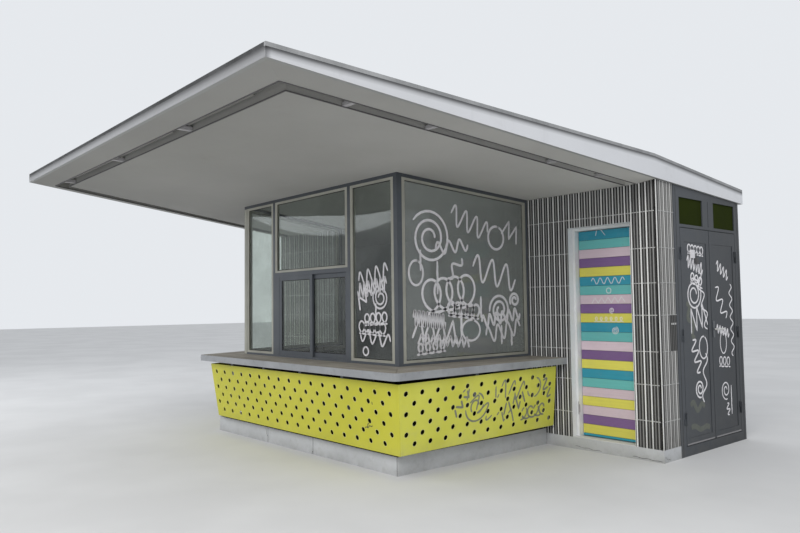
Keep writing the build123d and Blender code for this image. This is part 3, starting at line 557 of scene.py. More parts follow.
class Builder:
    """Collects solids and strokes, with a shade for each, and makes one mesh piece of them."""

    def __init__(self):
        self.bm = bmesh.new()
        self.shade = self.bm.loops.layers.float_color.new("shade")

    def paint(self, faces, shade):
        for face in faces:
            for loop in face.loops:
                loop[self.shade] = opaque(shade)

    def loft(self, rings, shade=1, closed=False):
        """Skin over rings of as many points; the end rings are capped, or joined to each other."""
        rings = [[self.bm.verts.new(point) for point in ring] for ring in rings]
        faces = [] if closed else [self.bm.faces.new(rings[0][::-1]), self.bm.faces.new(rings[-1])]
        following = rings[1:] + (rings[:1] if closed else [])
        for one, two in zip(rings, following):
            for i in range(len(one)):
                j = (i + 1) % len(one)
                faces.append(self.bm.faces.new((one[i], one[j], two[j], two[i])))
        self.paint(faces, shade)

    def box(self, low, high, shade=1, turn=Matrix.Identity(4)):
        (x0, y0, z0), (x1, y1, z1) = low, high
        ring = [(x0, y0), (x1, y0), (x1, y1), (x0, y1)]
        self.loft([[turn @ Vector((x, y, z)) for x, y in ring] for z in (z0, z1)], shade)

    def strip(self, start, end, across, rise, shade=1):
        """Straight bar between two points: half its width either way, and its thickness to one side."""
        across, rise = Vector(across), Vector(rise)
        ring = [-across, across, across + rise, rise - across]
        self.loft([[Vector(point) + corner for corner in ring] for point in (start, end)], shade)

    def rod(self, start, end, radius, shade, sides=10):
        start, end = Vector(start), Vector(end)
        turn = (end - start).to_track_quat("Z", "Y")
        ring = [turn @ Vector((x, y, 0)) for x, y in round_points(radius, sides)]
        self.loft([[point + corner for corner in ring] for point in (start, end)], shade)

    def copy(self, mesh, shade=1):
        """Takes over the faces of another mesh."""
        verts = {vert: self.bm.verts.new(vert.co) for vert in mesh.verts}
        self.paint([self.bm.faces.new([verts[vert] for vert in face.verts]) for face in mesh.faces], shade)

    def rim(self, place, centre, inner, outer, rise, shade, sides=24):
        """Flat ring on a face, a little proud of it."""
        rings = [[place @ Vector((centre[0] + x, out, centre[1] + z)) for x, z in round_points(radius, sides)]
                 for radius, out in ((inner, 0), (inner, rise), (outer, rise), (outer, 0))]
        self.loft(rings, shade, closed=True)

    def stroke(self, place, points, width, rise, shade, holes=()):
        """Painted line on a face along (along, up) points; it stops where it meets a hole."""
        run = []
        for point in points + [None]:
            if point and all(dist(point, hole) >= HOLE_RADIUS + width / 2 for hole in holes):
                run.append(point)
                continue
            if len(run) > 2:
                self.ribbon(place, run, width, rise, shade)
            run = []

    def ribbon(self, place, points, width, rise, shade):
        rings = []
        last = len(points) - 1
        for index, (along, up) in enumerate(points):
            before, after = points[max(0, index - 1)], points[min(last, index + 1)]
            run = Vector((after[0] - before[0], after[1] - before[1]))
            if run.length < 1e-9:
                continue
            run.normalize()
            half = width / 2 * (0.55 if index in (0, last) else 1)
            side = Vector((-run.y, run.x)) * half
            rings.append([place @ Vector((along + s * side.x, out, up + s * side.y))
                          for s, out in ((-1, 0), (-1, rise), (1, rise), (1, 0))])
        self.loft(rings, shade)

    def finish(self, name, slot, material=None, body=ROOT, replaces=(), bevel=0):
        """Makes the piece; without a material of its own it takes its slot's."""
        bmesh.ops.recalc_face_normals(self.bm, faces=self.bm.faces)
        mesh = bpy.data.meshes.new(name)
        self.bm.to_mesh(mesh)
        self.bm.free()
        mesh.materials.append(material or LOOKS[slot])
        piece = added(name, mesh)
        if bevel:
            edge = piece.modifiers.new("edge", "BEVEL")
            edge.width = bevel
            edge.segments = 2
            edge.limit_method = "ANGLE"
        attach(piece, body)
        if replaces:
            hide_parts(*replaces)


def wall_frame(origin, along, out, up=(0, 0, 1)):
    """Matrix from (along, out, up) coordinates of a face to the row frame."""
    place = Matrix.Identity(4)
    for column, direction in enumerate((along, out, up)):
        place.col[column][:3] = Vector(direction).normalized()
    place.col[3][:3] = origin
    return place


TO_FRONT = ((1, 0, 0), (0, -1, 0))
TO_RIGHT = ((0, 1, 0), (1, 0, 0))
LEFT_OUT = (-cos(SPLAY), -sin(SPLAY))
FRONT = wall_frame((0, 0, 0), (-1, 0, 0), (0, -1, 0))
RIGHT = wall_frame((0, 0, 0), *TO_RIGHT)
LEFT = wall_frame((-FRONT_LENGTH, 0, 0), (-sin(SPLAY), cos(SPLAY), 0), (*LEFT_OUT, 0))
STEEL_PANEL = wall_frame((BLOCK_RIGHT - STEEL_FIELD, 0, 0), *TO_RIGHT)

# Ribbed tiles
ROW_JOINTS = (FLOOR, 0.371, 0.706, 1.015, 1.355, 1.657, 1.988, 2.335)
RIB_PITCH = 0.0325
RIB_WIDTH = 0.0128
RIB_DEPTH = 0.008
RIB_SHOULDER = 0.003
LEAST_RIB = 0.004
JOINT_HEIGHT = 0.006
JOINT_INSET = 0.0008
JOINT_RIBS = 5
RIB_GAP = 0.0006
ROOF_GAP = 0.002
RHYTHM = (1, 0.42, 0.75, 0.5)


def ribbed_wall(ribs, ground, place, length, low=FLOOR, missing=None, tone=1, rhythm=RHYTHM):
    """Ribbed tiles over one wall; place maps (along, out, up), and out is 0 on their outer face.

    The ribs' brightness follows the rhythm from one end, and a rib keeps it through all rows.
    """
    count = max(1, round(length / RIB_PITCH))
    pitch = length / count

    def top_at(along, out=0):
        point = place @ Vector((along, out, 0))
        return underside(point.x, point.y) - ROOF_GAP

    def ring_at(ring, height=None):
        """The ring at a height, or under the roof."""
        return [place @ Vector((a, o, top_at(a, o) if height is None else height)) for a, o in ring]

    edge = [(0, -TILE), (length, -TILE), (length, -RIB_DEPTH), (0, -RIB_DEPTH)]
    ground.loft([ring_at(edge, low), ring_at(edge)])
    top = max(top_at(0), top_at(length))
    joints = [z for z in ROW_JOINTS if z > low + 0.01]
    rows = list(zip([low] + joints, joints + [None]))
    half = RIB_WIDTH / 2
    nose = half * 0.5
    for index in range(count):
        middle = (index + 0.5) * pitch
        column = tone * rhythm[index % len(rhythm)] * draw(0.88, 1.05)
        ring = [(middle - half, -RIB_DEPTH), (middle - half, -RIB_SHOULDER), (middle - nose, 0),
                (middle + nose, 0), (middle + half, -RIB_SHOULDER), (middle + half, -RIB_DEPTH)]
        for row, (start, end) in enumerate(rows):
            shade = column * draw(0.95, 1.03)
            if missing and missing(middle, start):
                shade = 0.1
            foot = ring_at(ring, start + RIB_GAP if row else start)
            head = ring_at(ring, None if end is None else end - RIB_GAP)
            if head[0].z - foot[0].z > LEAST_RIB:
                ribs.loft([foot, head], shade)
    for z in joints:
        if z > top - 0.02:
            continue
        for step in range(0, count, JOINT_RIBS):
            start, end = step * pitch, min(count, step + JOINT_RIBS) * pitch
            if not (missing and missing((start + end) / 2, z)):
                ribs.box((start + JOINT_INSET, -RIB_DEPTH, z - JOINT_HEIGHT / 2),
                         (end - JOINT_INSET, -JOINT_INSET, z + JOINT_HEIGHT / 2),
                         tone * draw(0.66, 0.8), place)


def return_gap(along, z):
    """Where tiles have come off the return face beside the steel door."""
    return along > 0.2 and 1 < z < 1.2


def corner_rib(ribs):
    """Rounded rib where the front face of the block turns to the steel door."""
    x, y = BLOCK_RIGHT, ROOM_DEPTH
    ring = [(x - RIB_DEPTH, y + RIB_DEPTH), (x - RIB_DEPTH, y), (x - RIB_SHOULDER, y),
            (x, y + RIB_SHOULDER), (x, y + RIB_DEPTH)]
    ends = [*ROW_JOINTS, underside(x, y + 0.01) - ROOF_GAP]
    for low, high in zip(ends, ends[1:]):
        ribs.loft([[(*point, z) for point in ring] for z in (low + RIB_GAP, high - RIB_GAP)],
                  draw(0.75, 0.9))


def tile_pieces(name, replaced, *walls):
    """Ribs and their ground as two pieces; each wall is (place, length, options)."""
    ribs, ground = Builder(), Builder()
    for place, length, options in walls:
        ribbed_wall(ribs, ground, place, length, **options)
        if "missing" in options:
            ribs.box((0.205, -RIB_DEPTH, 1.262), (0.31, -0.002, 1.279), 0.62, place)
            corner_rib(ribs)
    ribs.finish(name + "_ribs", "ribbed_tile", replaces=(replaced,))
    ground.finish(name + "_ground", "ribbed_tile", GROUND)


def block_front(x):
    """Frame of the block's front face from a place along it."""
    return wall_frame((x, ROOM_DEPTH, 0), *TO_FRONT)


WING_LEFT, BACK_LEFT = block_left(ROOM_DEPTH), block_left(BLOCK_BACK)
END_FOOT = Vector((block_left(ROOM_DEPTH + TILE), ROOM_DEPTH + TILE, 0))
END_ALONG = Vector((block_left(BLOCK_BACK - TILE), BLOCK_BACK - TILE, 0)) - END_FOOT
END_FACE = wall_frame(END_FOOT, END_ALONG, (-cos(ROOF_SPLAY), -sin(ROOF_SPLAY), 0))
BACK_FACE = wall_frame((BACK_LEFT, BLOCK_BACK, 0), (1, 0, 0), (0, 1, 0))
RETURN_FACE = wall_frame((BLOCK_RIGHT, ROOM_DEPTH, 0), *TO_RIGHT)
STEEL_INSIDE = BLOCK_RIGHT - 0.06

tile_pieces("door_wall_tiles", "tiles_beside_door",
            (block_front(0), DOOR_LEFT, dict(rhythm=(1, 0.32))),
            (block_front(DOOR_RIGHT), BLOCK_RIGHT - DOOR_RIGHT, dict(rhythm=(1, 0.24, 0.36, 0.95, 0.22))),
            (RETURN_FACE, RETURN_END - ROOM_DEPTH, dict(missing=return_gap, tone=0.68)))
tile_pieces("lintel_tiles", "tiles_over_door",
            (block_front(DOOR_LEFT), DOOR_RIGHT - DOOR_LEFT, dict(low=DOOR_HEAD)))
tile_pieces("wing_tiles", "tiles_wing", (block_front(WING_LEFT), left_x(ROOM_DEPTH) - WING_LEFT, {}))
tile_pieces("end_tiles", "tiles_left_end", (END_FACE, END_ALONG.length, {}))
tile_pieces("rear_tiles", "tiles_back", (BACK_FACE, STEEL_INSIDE - BACK_LEFT, {}))

# Striped door: boards, the panel behind them and the hinges
BOARD_PITCH = 0.0941
BOARD_SKIN = 0.014
BOARD_GAP = 0.003
DARK_TEAL, LIGHT_TEAL = (0.04, 0.32, 0.44), (0.16, 0.54, 0.53)
PINK, PURPLE, YELLOW = (0.74, 0.6, 0.67), (0.23, 0.13, 0.31), (0.78, 0.72, 0.13)
BOARDS = (DARK_TEAL, LIGHT_TEAL, PINK, PURPLE, YELLOW) * 3 + (
    DARK_TEAL, LIGHT_TEAL, PINK, YELLOW, PINK, PURPLE, YELLOW, DARK_TEAL)


def striped_door():
    low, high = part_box("door_leaf")
    leaf_right = high.x - 0.009
    boards, panel, hinges = Builder(), Builder(), Builder()
    top = high.z
    for colour in BOARDS:
        bottom = max(low.z, top - BOARD_PITCH)
        wear = draw(0.92, 1.06)
        boards.box((low.x, LEAF_FRONT, bottom + BOARD_GAP / 2),
                   (leaf_right, LEAF_FRONT + BOARD_SKIN, top - BOARD_GAP / 2), scaled(colour, wear))
        top = bottom
    panel.box((low.x, LEAF_FRONT + BOARD_SKIN, low.z), (leaf_right, LEAF_BACK, high.z), (0.06, 0.055, 0.05))
    hinges.copy(sliced(welded("door_leaf"), (0, LEAF_BACK + 0.0002, 0), (0, 1, 0)))
    boards.finish("door_boards", "striped_boards", body=DOOR, replaces=("door_leaf",), bevel=0.001)
    panel.finish("door_panel", "striped_boards", body=DOOR)
    hinges.finish("door_hinges", "striped_boards", LOOKS["zinc"], DOOR)


def door_surround():
    """White lining of the reveal in front of the frame, threshold, head hooks and the bolt."""
    plates, fittings = Builder(), Builder()
    front, back, thick = ROOM_DEPTH + 0.001, LINING_FRONT, 0.002
    left, right = DOOR_LEFT + thick, DOOR_RIGHT - thick
    plates.box((DOOR_LEFT, front, FLOOR), (left, back, DOOR_HEAD))
    plates.box((right, front, FLOOR), (DOOR_RIGHT, back, DOOR_HEAD))
    plates.box((left, front, DOOR_HEAD - thick), (right, back, DOOR_HEAD), 0.85)
    plates.box((left, front, FLOOR), (right, back, FLOOR + 0.006), 0.8)
    plates.finish("door_reveal", "white_paint", scribble_paint("reveal_paint", (0.8, 0.81, 0.82), 0.15))
    for start, end in (((0.8, 2, 2.236), (0.775, 2.012, 2.165)),
                       ((0.83, 2, 2.236), (0.885, 2.012, 2.16))):
        fittings.rod(start, end, 0.003, 0.95)
    fittings.box((0.553, 1.953, 0.36), (0.566, 1.965, 0.44), 0.5)
    fittings.rod((0.56, 1.95, 0.34), (0.56, 1.95, 0.47), 0.004, 0.45)
    fittings.finish("door_fittings", "white_paint", PALE_LINE)


striped_door()
door_surround()

# Ledge planks, and the screws of its metal edge
PLANK_GAP = 0.003


def island_mesh(mesh, group):
    """A mesh of its own from one group of vertices."""
    piece = bmesh.new()
    verts = {vert: piece.verts.new(vert.co) for vert in group}
    for face in mesh.faces:
        if face.verts[0] in verts:
            piece.faces.new([verts[vert] for vert in face.verts])
    return piece


def planks(builder, mesh, place, across_cuts, along_cuts):
    """Cuts one side of the ledge into planks: lengthwise at distances outwards, then crosswise."""
    out, along = place.col[1].to_3d(), place.col[0].to_3d()
    origin = place.col[3].to_3d()
    lanes = list(zip((-1,) + across_cuts, across_cuts + (2,)))
    for lane, (inner, outer) in enumerate(lanes):
        for start, end in zip((-1,) + along_cuts[lane], along_cuts[lane] + (9,)):
            piece = mesh.copy()
            for distance, direction in ((inner, out), (-outer, -out), (start, along), (-end, -along)):
                point = origin + direction * (distance + PLANK_GAP / 2)
                if piece.faces:
                    sliced(piece, point, direction)
            if piece.faces:
                builder.copy(piece, draw(0.86, 1.1))


def ledge():
    whole = welded("ledge_boards")
    sides = sorted(islands(whole), key=lambda group: sum(v.co.x for v in group) / len(group))
    left, front, right = (island_mesh(whole, group) for group in sides)
    for name, mesh, place, across_cuts, along_cuts, material, replaced in (
            ("front", front, FRONT, (0.15, 0.3), ((1.1,), (0.45, 2.2), (1.5,)), None, ("ledge_boards",)),
            ("right", right, RIGHT, (0.16, 0.32), ((0.9,), (1.3,), (0.6,)), LEDGE_SIDE, ()),
            ("left", left, LEFT, (0.135, 0.265), ((1.1,), (0.7,), (1.3,)), LEDGE_SPLAYED, ())):
        boards = Builder()
        planks(boards, mesh, place, across_cuts, along_cuts)
        boards.finish("ledge_planks_" + name, "ledge_timber", material, replaces=replaced)


def edge_screws():
    """Screw heads along the metal edge of the ledge."""
    screws = Builder()
    height, spacing, radius, rise = 0.888, 0.31, 0.0045, 0.0012
    for place, out, start, length in ((FRONT, LEDGE_FRONT, -0.32, FRONT_LENGTH + 0.4),
                                      (RIGHT, LEDGE_RIGHT, -0.3, ROOM_DEPTH),
                                      (LEFT, LEDGE_LEFT, -0.1, ROOM_DEPTH / cos(SPLAY))):
        for step in range(int((length - start - 0.05) / spacing) + 1):
            along = start + spacing * step
            foot, head = (place @ Vector((along, o, height)) for o in (out - 0.0002, out + rise))
            screws.rod(foot, head, radius, 0.4)
    screws.finish("ledge_edge_screws", "zinc", PALE_LINE)


ledge()
edge_screws()

# Leaning sheets: rims of the holes in a painted highlight, folds at the corners, marks
SHEET_RISE = SHEET_TOP - SHEET_BOTTOM


def sheet_frame(foot, out, reach):
    lean = reach[1] - reach[0]
    along = (-out[1], out[0], 0)
    return wall_frame((*foot, SHEET_BOTTOM), along, (out[0] * SHEET_RISE, out[1] * SHEET_RISE, -lean),
                      (out[0] * lean, out[1] * lean, SHEET_RISE))


SHEETS = {
    FRONT_SHEET: sheet_frame((0, -SHEET_FRONT_OUT[0]), (0, -1), SHEET_FRONT_OUT),
    RIGHT_SHEET: sheet_frame((SHEET_RIGHT_OUT[0], 0), (1, 0), SHEET_RIGHT_OUT),
    LEFT_SHEET: sheet_frame((left_x(0, SHEET_LEFT_OUT[0]), 0), LEFT_OUT, SHEET_LEFT_OUT),
}


def hole_centres(node, place):
    """Centres of a sheet's round holes, read from the frame, in the sheet's own plane."""
    mesh = welded(node)
    out = place.col[1].to_3d()
    outer = {face for face in mesh.faces if face.normal.dot(out) > 0.9}
    ring = bmesh.new()
    verts = {}
    for edge in mesh.edges:
        if sum(face in outer for face in edge.link_faces) == 1:
            for vert in edge.verts:
                if vert not in verts:
                    verts[vert] = ring.verts.new(vert.co)
            ring.edges.new([verts[vert] for vert in edge.verts])
    back = place.inverted()
    centres = []
    for group in islands(ring):
        spots = [back @ vert.co for vert in group]
        ends = [(min(p[i] for p in spots), max(p[i] for p in spots)) for i in (0, 2)]
        if ends[0][1] - ends[0][0] < 3 * HOLE_RADIUS:
            centres.append(tuple((low + high) / 2 for low, high in ends))
    return centres


HOLES = {node: hole_centres(node, place) for node, place in SHEETS.items()}


def hole_rims():
    # Each hole gets a thin ring in the pale painted highlight.
    rims = Builder()
    for node, place in SHEETS.items():
        for centre in HOLES[node]:
            rims.rim(place, centre, HOLE_RADIUS, HOLE_RADIUS + draw(0.002, 0.0035), 0.0003, draw(0.7, 1))
    rims.finish("sheet_hole_rims", "yellow_sheet", HOLE_RIM_HIGHLIGHT)


def corner_folds():
    """The sheets meet in a continuous fold: a sliver closes the gap at each corner."""
    folds = Builder()
    for towards in (1, -1):
        rings = []
        for level, z in enumerate((SHEET_BOTTOM + 0.002, SHEET_TOP - 0.002)):
            y = -SHEET_FRONT_OUT[level]
            x = SHEET_RIGHT_OUT[level] if towards == 1 else left_x(y, SHEET_LEFT_OUT[level])
            inner, back = x - towards * SHEET_THICKNESS, y + SHEET_CORNER_GAP
            rings.append([(x, y, z), (x, back, z), (inner, back, z), (inner, y, z)])
        folds.loft(rings)
    folds.finish("sheet_folds", "yellow_sheet", FOLD)


hole_rims()
corner_folds()


# Painted marks without any lettering: spirals, waves, zigzags, rings, coils and drips
TURN_POINTS = 26
WAVE_POINTS = 22
MARK_RISE = 0.0005
OVERLAP_RISE = 0.00008


def spiral(x, z, first, last, turns, start=0, squash=1):
    count = int(abs(turns) * TURN_POINTS)
    points = []
    for i in range(count + 1):
        share = i / count
        angle = start + 2 * pi * turns * share
        radius = first + (last - first) * share
        points.append((x + radius * cos(angle), z + squash * radius * sin(angle)))
    return points


def circle(x, z, radius, squash=1):
    return spiral(x, z, radius, radius, 1.03, start=1.2, squash=squash)


def wave(x0, z0, x1, z1, swing, cycles, sharp=False):
    length = dist((x0, z0), (x1, z1))
    run = ((x1 - x0) / length, (z1 - z0) / length)
    count = max(8, int(cycles * WAVE_POINTS))
    points = []
    for i in range(count + 1):
        share = i / count
        turn = share * cycles
        if sharp:
            side = swing * (4 * abs(turn - floor(turn + 0.5)) - 1)
        else:
            side = swing * sin(2 * pi * turn)
        points.append((x0 + run[0] * length * share - run[1] * side,
                       z0 + run[1] * length * share + run[0] * side))
    return points


def zigzag(*values):
    return wave(*values, sharp=True)


def coil(x0, z0, x1, z1, radius, count):
    """Overlapping loops along a line."""
    steps = count * TURN_POINTS
    points = []
    for i in range(steps + 1):
        share = i / steps
        angle = 2 * pi * count * share
        points.append((x0 + (x1 - x0) * share + radius * sin(angle),
                       z0 + (z1 - z0) * share - radius * cos(angle)))
    return points


def drip(x, z, length):
    return [(x + 0.002 * sin(9 * i), z - length * i / 6) for i in range(7)]


def marks(name, look, slot, place, width, strokes, body=ROOT, holes=()):
    lines = Builder()
    for level, points in enumerate(strokes):
        lines.stroke(place, points, width * draw(0.88, 1.12), MARK_RISE + OVERLAP_RISE * level,
                     draw(0.86, 1), holes)
    lines.finish(name, slot, look, body)


PANE_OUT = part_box("window_glass")[1].x
PANE_RIGHT = RIGHT @ Matrix.Translation((0, PANE_OUT, 0))
PANE_FRONT = FRONT @ Matrix.Translation((0, PANE_OUT, 0))
marks("big_window_marks", PALE_LINE, "glass", PANE_RIGHT, 0.025, [
    spiral(0.43, 2.12, 0.06, 0.27, 2.4), wave(0.72, 2.38, 1.25, 2.22, 0.1, 3.5), circle(1.38, 2.17, 0.12),
    zigzag(1.5, 2.3, 1.74, 2.2, 0.09, 2), coil(0.36, 1.55, 1, 1.62, 0.16, 4),
    wave(1.02, 1.86, 1.68, 1.74, 0.13, 3), spiral(1.42, 1.42, 0.03, 0.16, 2.2, start=2),
    zigzag(0.2, 1.28, 0.78, 1.2, 0.11, 4), circle(0.98, 1.22, 0.13, 0.8),
    coil(0.24, 1.06, 0.62, 1.08, 0.05, 4), wave(1.2, 1.16, 1.74, 1.24, 0.08, 3.5),
    spiral(1.66, 1.52, 0.02, 0.08, 1.6), wave(0.86, 1.94, 0.66, 1.74, 0.05, 1.5),
    circle(0.24, 1.78, 0.09, 1.3), drip(0.52, 1.9, 0.32), drip(1.13, 1.56, 0.22), drip(1.6, 1.2, 0.16),
    drip(0.3, 2, 0.2), wave(0.2, 1.36, 0.62, 1.31, 0.07, 8), coil(0.66, 1.44, 1.1, 1.4, 0.07, 5),
    zigzag(0.26, 1.16, 0.95, 1.1, 0.05, 9), wave(1.14, 1.3, 1.74, 1.38, 0.06, 6),
    wave(0.5, 2.02, 0.95, 2.08, 0.06, 3), drip(0.84, 1.42, 0.26), drip(1.44, 1.26, 0.2)])
marks("narrow_bay_marks", PALE_LINE, "glass", PANE_FRONT, 0.02, [
    wave(0.16, 1.8, 0.6, 1.72, 0.08, 3.5), spiral(0.27, 1.55, 0.03, 0.12, 2.2),
    zigzag(0.42, 1.64, 0.62, 1.48, 0.06, 2), coil(0.17, 1.36, 0.52, 1.34, 0.055, 4),
    wave(0.13, 1.14, 0.58, 1.2, 0.06, 3), circle(0.5, 1.04, 0.04), wave(0.18, 1.68, 0.62, 1.62, 0.07, 7),
    coil(0.2, 1.25, 0.6, 1.27, 0.06, 5), drip(0.34, 1.5, 0.16)])
marks("sheet_marks", GREY_LINE, "yellow_sheet", SHEETS[RIGHT_SHEET], 0.02, [
    wave(0.42, 0.5, 0.86, 0.24, 0.07, 3), zigzag(1.02, 0.3, 1.34, 0.36, 0.08, 3),
    spiral(0.62, 0.36, 0.03, 0.17, 2), wave(0.8, 0.5, 1.3, 0.44, 0.09, 3.5),
    zigzag(0.34, 0.3, 0.5, 0.52, 0.05, 2.5), circle(1.45, 0.46, 0.1), coil(1.3, 0.2, 1.66, 0.22, 0.06, 4),
    zigzag(0.9, 0.24, 1.2, 0.2, 0.06, 2), wave(1.58, 0.52, 1.74, 0.36, 0.05, 2)], holes=HOLES[RIGHT_SHEET])
marks("sheet_scuffs", scribble_paint("scuff", (0.12, 0.115, 0.05), 0.6), "yellow_sheet",
      SHEETS[FRONT_SHEET], 0.009, [
          wave(-0.02, 0.235, -0.13, 0.2, 0.006, 2), wave(-0.06, 0.26, -0.1, 0.215, 0.004, 1.5),
          wave(0.02, 0.45, 0.03, 0.43, 0.003, 1)], holes=HOLES[FRONT_SHEET])
marks("door_marks", PALE_LINE, "striped_boards", wall_frame((0, LEAF_FRONT, 0), *TO_FRONT), 0.007, [
    wave(0.7, 1.7, 1.08, 1.7, 0.03, 4.5), circle(0.9, 1.6, 0.026), zigzag(0.7, 1.5, 1.08, 1.51, 0.028, 5),
    spiral(0.93, 1.4, 0.004, 0.03, 1.8), coil(0.72, 1.31, 1.06, 1.31, 0.024, 6),
    spiral(0.96, 1.2, 0.006, 0.04, 2.2)], body=DOOR)


# Windows: dark gaskets round every pane
def gaskets():
    strips = Builder()
    width, rise = 0.007, 0.0015
    for node in ("window_glass", "hatch_glass"):
        whole = welded(node)
        for group in islands(whole):
            middle = sum((vert.co for vert in group), Vector()) / len(group)
            place = FRONT if middle.y < 0.1 else RIGHT if middle.x > -0.1 else LEFT
            back = place.inverted()
            spots = [back @ vert.co for vert in group]
            face = max(p.y for p in spots)
            starts, ends = min(p.x for p in spots), max(p.x for p in spots)
            corners = []
            for along, pick in ((starts, min), (ends, min), (ends, max), (starts, max)):
                corners.append((along, pick(p.z for p in spots if abs(p.x - along) < 0.01)))
            inwards = ((width, width), (-width, width), (-width, -width), (width, -width))
            inner = [(a + da, u + du) for (a, u), (da, du) in zip(corners, inwards)]
            for i in range(4):
                j = (i + 1) % 4
                quad = (corners[i], corners[j], inner[j], inner[i])
                strips.loft([[place @ Vector((a, o, u)) for a, u in quad] for o in (face, face + rise)])
    strips.finish("pane_gaskets", "sash_paint", GASKET)


def corner_cover():
    """Thin plate in the sashes' paint over the front of the splayed corner post."""
    cover = Builder()
    bottom = [(-FRONT_LENGTH + 0.004, LEDGE_TOP + 0.004), (-FRONT_LENGTH + 0.058, LEDGE_TOP + 0.004)]
    top = [(x, underside(x, 0) - 0.036) for x, _ in reversed(bottom)]
    cover.loft([[(x, y, z) for x, z in bottom + top] for y in (0, -0.0015)])
    cover.finish("corner_cover", "sash_paint")


gaskets()
corner_cover()


# Steel double door: grooves, weather strips, a small plate, painted marks and covered patches
def steel_details():
    grooves, plate = Builder(), Builder()
    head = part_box("steel_frame")[1].z - 0.03
    for y in (RETURN_END + 0.045, BLOCK_BACK - 0.045):
        grooves.strip((BLOCK_RIGHT, y, 0), (BLOCK_RIGHT, y, head), (0, 0.003, 0), (0.0006, 0, 0))
    grooves.finish("steel_frame_grooves", "slate_steel", GASKET)
    for node in (STEEL_FRONT, STEEL_REAR):
        low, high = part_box(node)
        strip = Builder()
        strip.box((BLOCK_RIGHT, low.y + 0.02, low.z + 0.002),
                  (BLOCK_RIGHT + 0.003, high.y - 0.02, low.z + 0.016), 0.3)
        strip.finish(node + "_weather_strip", "slate_steel", PALE_LINE, node)
    face = BLOCK_RIGHT - STEEL_FIELD
    plate.box((face, 2.507, 1.908), (face + 0.014, 2.584, 1.99), 0.85)
    plate.box((face, 2.584, 1.93), (face + 0.006, 2.64, 1.955), 0.12)
    plate.box((face, 2.6, 1.85), (face + 0.022, 2.648, 1.915), 0.1)
    plate.finish("steel_leaf_plate", "slate_steel", PALE_LINE, STEEL_FRONT)


steel_details()
marks("steel_front_marks", PALE_LINE, "slate_steel", STEEL_PANEL, 0.016, [
    coil(2.46, 2, 2.78, 1.98, 0.045, 5), spiral(2.56, 1.55, 0.05, 0.16, 2.3),
    zigzag(2.46, 1.28, 2.8, 1.36, 0.12, 3), wave(2.66, 1.78, 2.82, 1.2, 0.05, 3),
    circle(2.72, 1.02, 0.085, 1.3), wave(2.76, 0.96, 2.7, 0.48, 0.04, 2), spiral(2.62, 0.62, 0.02, 0.09, 1.8),
    wave(2.44, 1.88, 2.76, 1.8, 0.06, 6), coil(2.5, 1.72, 2.74, 1.66, 0.05, 3),
    wave(2.5, 1.1, 2.64, 0.78, 0.06, 3)], body=STEEL_FRONT)
marks("steel_rear_marks", PALE_LINE, "slate_steel", STEEL_PANEL, 0.014, [
    wave(3.02, 1.62, 3.24, 1.3, 0.06, 2.5), circle(3.16, 1.05, 0.07, 1.6),
    coil(3.05, 0.86, 3.3, 0.84, 0.05, 3), spiral(3.18, 0.56, 0.02, 0.1, 1.8),
    wave(3.36, 1.66, 3.38, 0.9, 0.03, 6), wave(3.2, 0.42, 3.24, 0.3, 0.03, 2), drip(3.3, 0.6, 0.3),
    wave(3.06, 1.86, 3.32, 1.74, 0.05, 4), wave(3.02, 1.2, 3.3, 1.14, 0.04, 5)], body=STEEL_REAR)
marks("steel_covered_marks", COVER_PAINT, "slate_steel", STEEL_PANEL, 0.05, [
    wave(2.4, 1.46, 2.56, 1.12, 0.04, 2), wave(2.42, 0.47, 2.7, 0.43, 0.035, 1.5),
    wave(2.42, 0.26, 2.8, 0.22, 0.015, 1.5)], body=STEEL_FRONT)


# Roof: metal edges of the slot and the dividers in it
def slot_details():
    edges, dividers = Builder(), Builder()
    drop, width, half, rear = 0.004, 0.005, 0.02, ROOM_DEPTH - 0.005
    inner_right, inner_front = SLOT_RIGHT - SLOT_WIDTH, SLOT_FRONT - SLOT_WIDTH

    def under(x, y):
        return x, y, underside(x, y) - drop

    for inside, front, right in ((MARGIN, SLOT_FRONT, SLOT_RIGHT),
                                 (MARGIN + SLOT_WIDTH, inner_front, inner_right)):
        near, far = (roof_left_x(-front, inside), -front), (roof_left_x(ROOM_DEPTH, inside), rear)
        corner = (right, -front)
        for start, end, across in ((near, corner, (0, width, 0)), (corner, (right, rear), (width, 0, 0)),
                                   (near, far, (width, 0, 0))):
            edges.strip(under(*start), under(*end), across, (0, 0, drop + 0.003), 0.14)
    edges.finish("slot_edges", "light_metal", PALE_LINE)
    for x in (-0.135, -1.55, -2.964):
        z = underside(x, -SLOT_FRONT)
        dividers.box((x - half, -SLOT_FRONT, z + 0.001), (x + half, -inner_front, z + 0.03), 0.5)
    for y in (-1.483, -0.741, 0.674, 1.4):
        z = underside(inner_right, y)
        dividers.box((inner_right, y - half, z + 0.002), (SLOT_RIGHT, y + half, z + 0.028), 0.5)
    dividers.finish("slot_dividers", "light_metal", PALE_LINE)


slot_details()


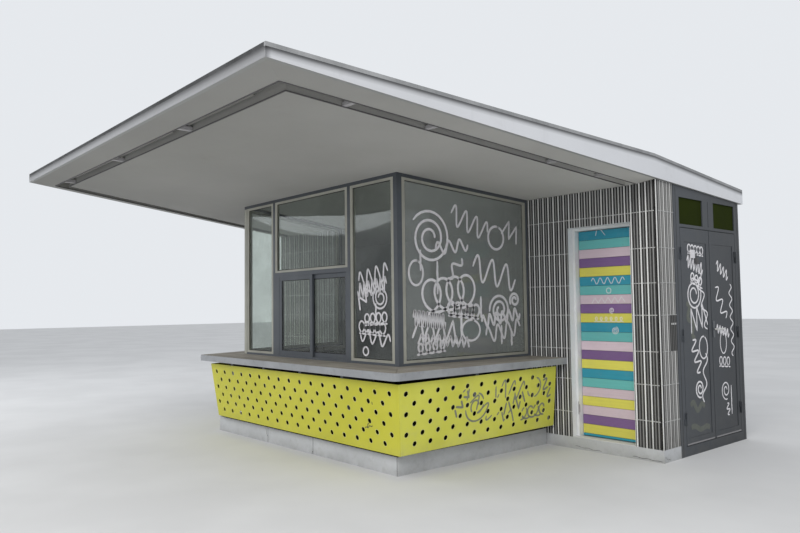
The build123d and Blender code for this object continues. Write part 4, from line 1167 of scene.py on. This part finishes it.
# Plinth: open joints and hair cracks
def plinth_details():
    lines = Builder()
    dark = 0.1
    for x in (-1.973, -1.101, PLINTH_OUT - 0.008):
        lines.strip((x, -PLINTH_OUT, 0.002), (x, -PLINTH_OUT, PLINTH_HEIGHT),
                    (0.0025, 0, 0), (0, -0.0006, 0), dark)
    face = FRONT @ Matrix.Translation((0, PLINTH_OUT, 0))
    side = RIGHT @ Matrix.Translation((0, BLOCK_RIGHT, 0))
    for place, start, end, swing, cycles, width in (
            (face, (1.973, 0.04), (2.02, 0.15), 0.006, 1.5, 0.003),
            (face, (1.1, 0.03), (1.13, 0.006), 0.004, 1, 0.004),
            (side, (1.9, 0.05), (2, 0.012), 0.005, 1.5, 0.003),
            (block_front(0), (0.55, 0.03), (0.86, 0.014), 0.004, 2.5, 0.003),
            (block_front(0), (1.2, 0.022), (1.5, 0.012), 0.003, 2.5, 0.004)):
        lines.stroke(place, wave(*start, *end, swing, cycles), width, 0.0006, dark)
    lines.finish("plinth_joints", "plinth_concrete", scribble_paint("open_joint", (0.5, 0.49, 0.46), 0.4))


plinth_details()

# Camera, light and floor
CAMERA_AT = Vector((4.893, -4.236, 1.466))
PICTURE_WIDTH = 800
FOCAL_PIXELS = 708
SENSOR = 36
YAW, PITCH, ROLL = radians(-48.92), radians(3.23), radians(-0.71)


def photo_camera():
    forward = Vector((sin(YAW) * cos(PITCH), cos(YAW) * cos(PITCH), sin(PITCH)))
    level = Vector((cos(YAW), -sin(YAW), 0))
    upright = level.cross(forward)
    data = bpy.data.cameras.new("camera")
    data.sensor_width = SENSOR
    data.lens = SENSOR * FOCAL_PIXELS / PICTURE_WIDTH
    camera = added("camera", data)
    camera.matrix_world = wall_frame(CAMERA_AT, level * cos(ROLL) + upright * sin(ROLL),
                                     upright * cos(ROLL) - level * sin(ROLL), -forward)
    bpy.context.scene.camera = camera


def lamp(name, place, aim, size, power, colour):
    data = bpy.data.lights.new(name, "AREA")
    data.shape = "DISK"
    data.size = size
    data.energy = power
    data.color = colour
    made = added(name, data)
    made.location = place
    made.rotation_mode = "QUATERNION"
    made.rotation_quaternion = (Vector(aim) - Vector(place)).to_track_quat("-Z", "Y")


def sky():
    world = bpy.data.worlds.new("sky")
    bpy.context.scene.world = world
    world.use_nodes = True
    light = world.node_tree.nodes["Background"].inputs
    light[0].default_value = (0.93, 0.96, 1, 1)
    light[1].default_value = 0.85


def pale_floor():
    reach = 60
    mesh = bpy.data.meshes.new("stage_floor")
    corners = [(-reach, -reach, 0), (reach, -reach, 0), (reach, reach, 0), (-reach, reach, 0)]
    mesh.from_pydata(corners, [], [(0, 1, 2, 3)])
    slab = added("stage_floor", mesh)
    look = Look("stage_floor")
    look.base = look.ramp(look.noise(0.6, 3), (0.4, 0.6), (0.6, 0.64))
    mesh.materials.append(look.finish(0.9, 0.1))


photo_camera()
sky()
lamp("key", (6, -9, 9), (-1, 0, 1.2), 7, 900, (1, 0.98, 0.95))
lamp("fill", (-10, -6, 7), (-2, 1, 1.2), 8, 350, (0.95, 0.97, 1))
pale_floor()
bpy.context.scene.view_settings.view_transform = "Standard"
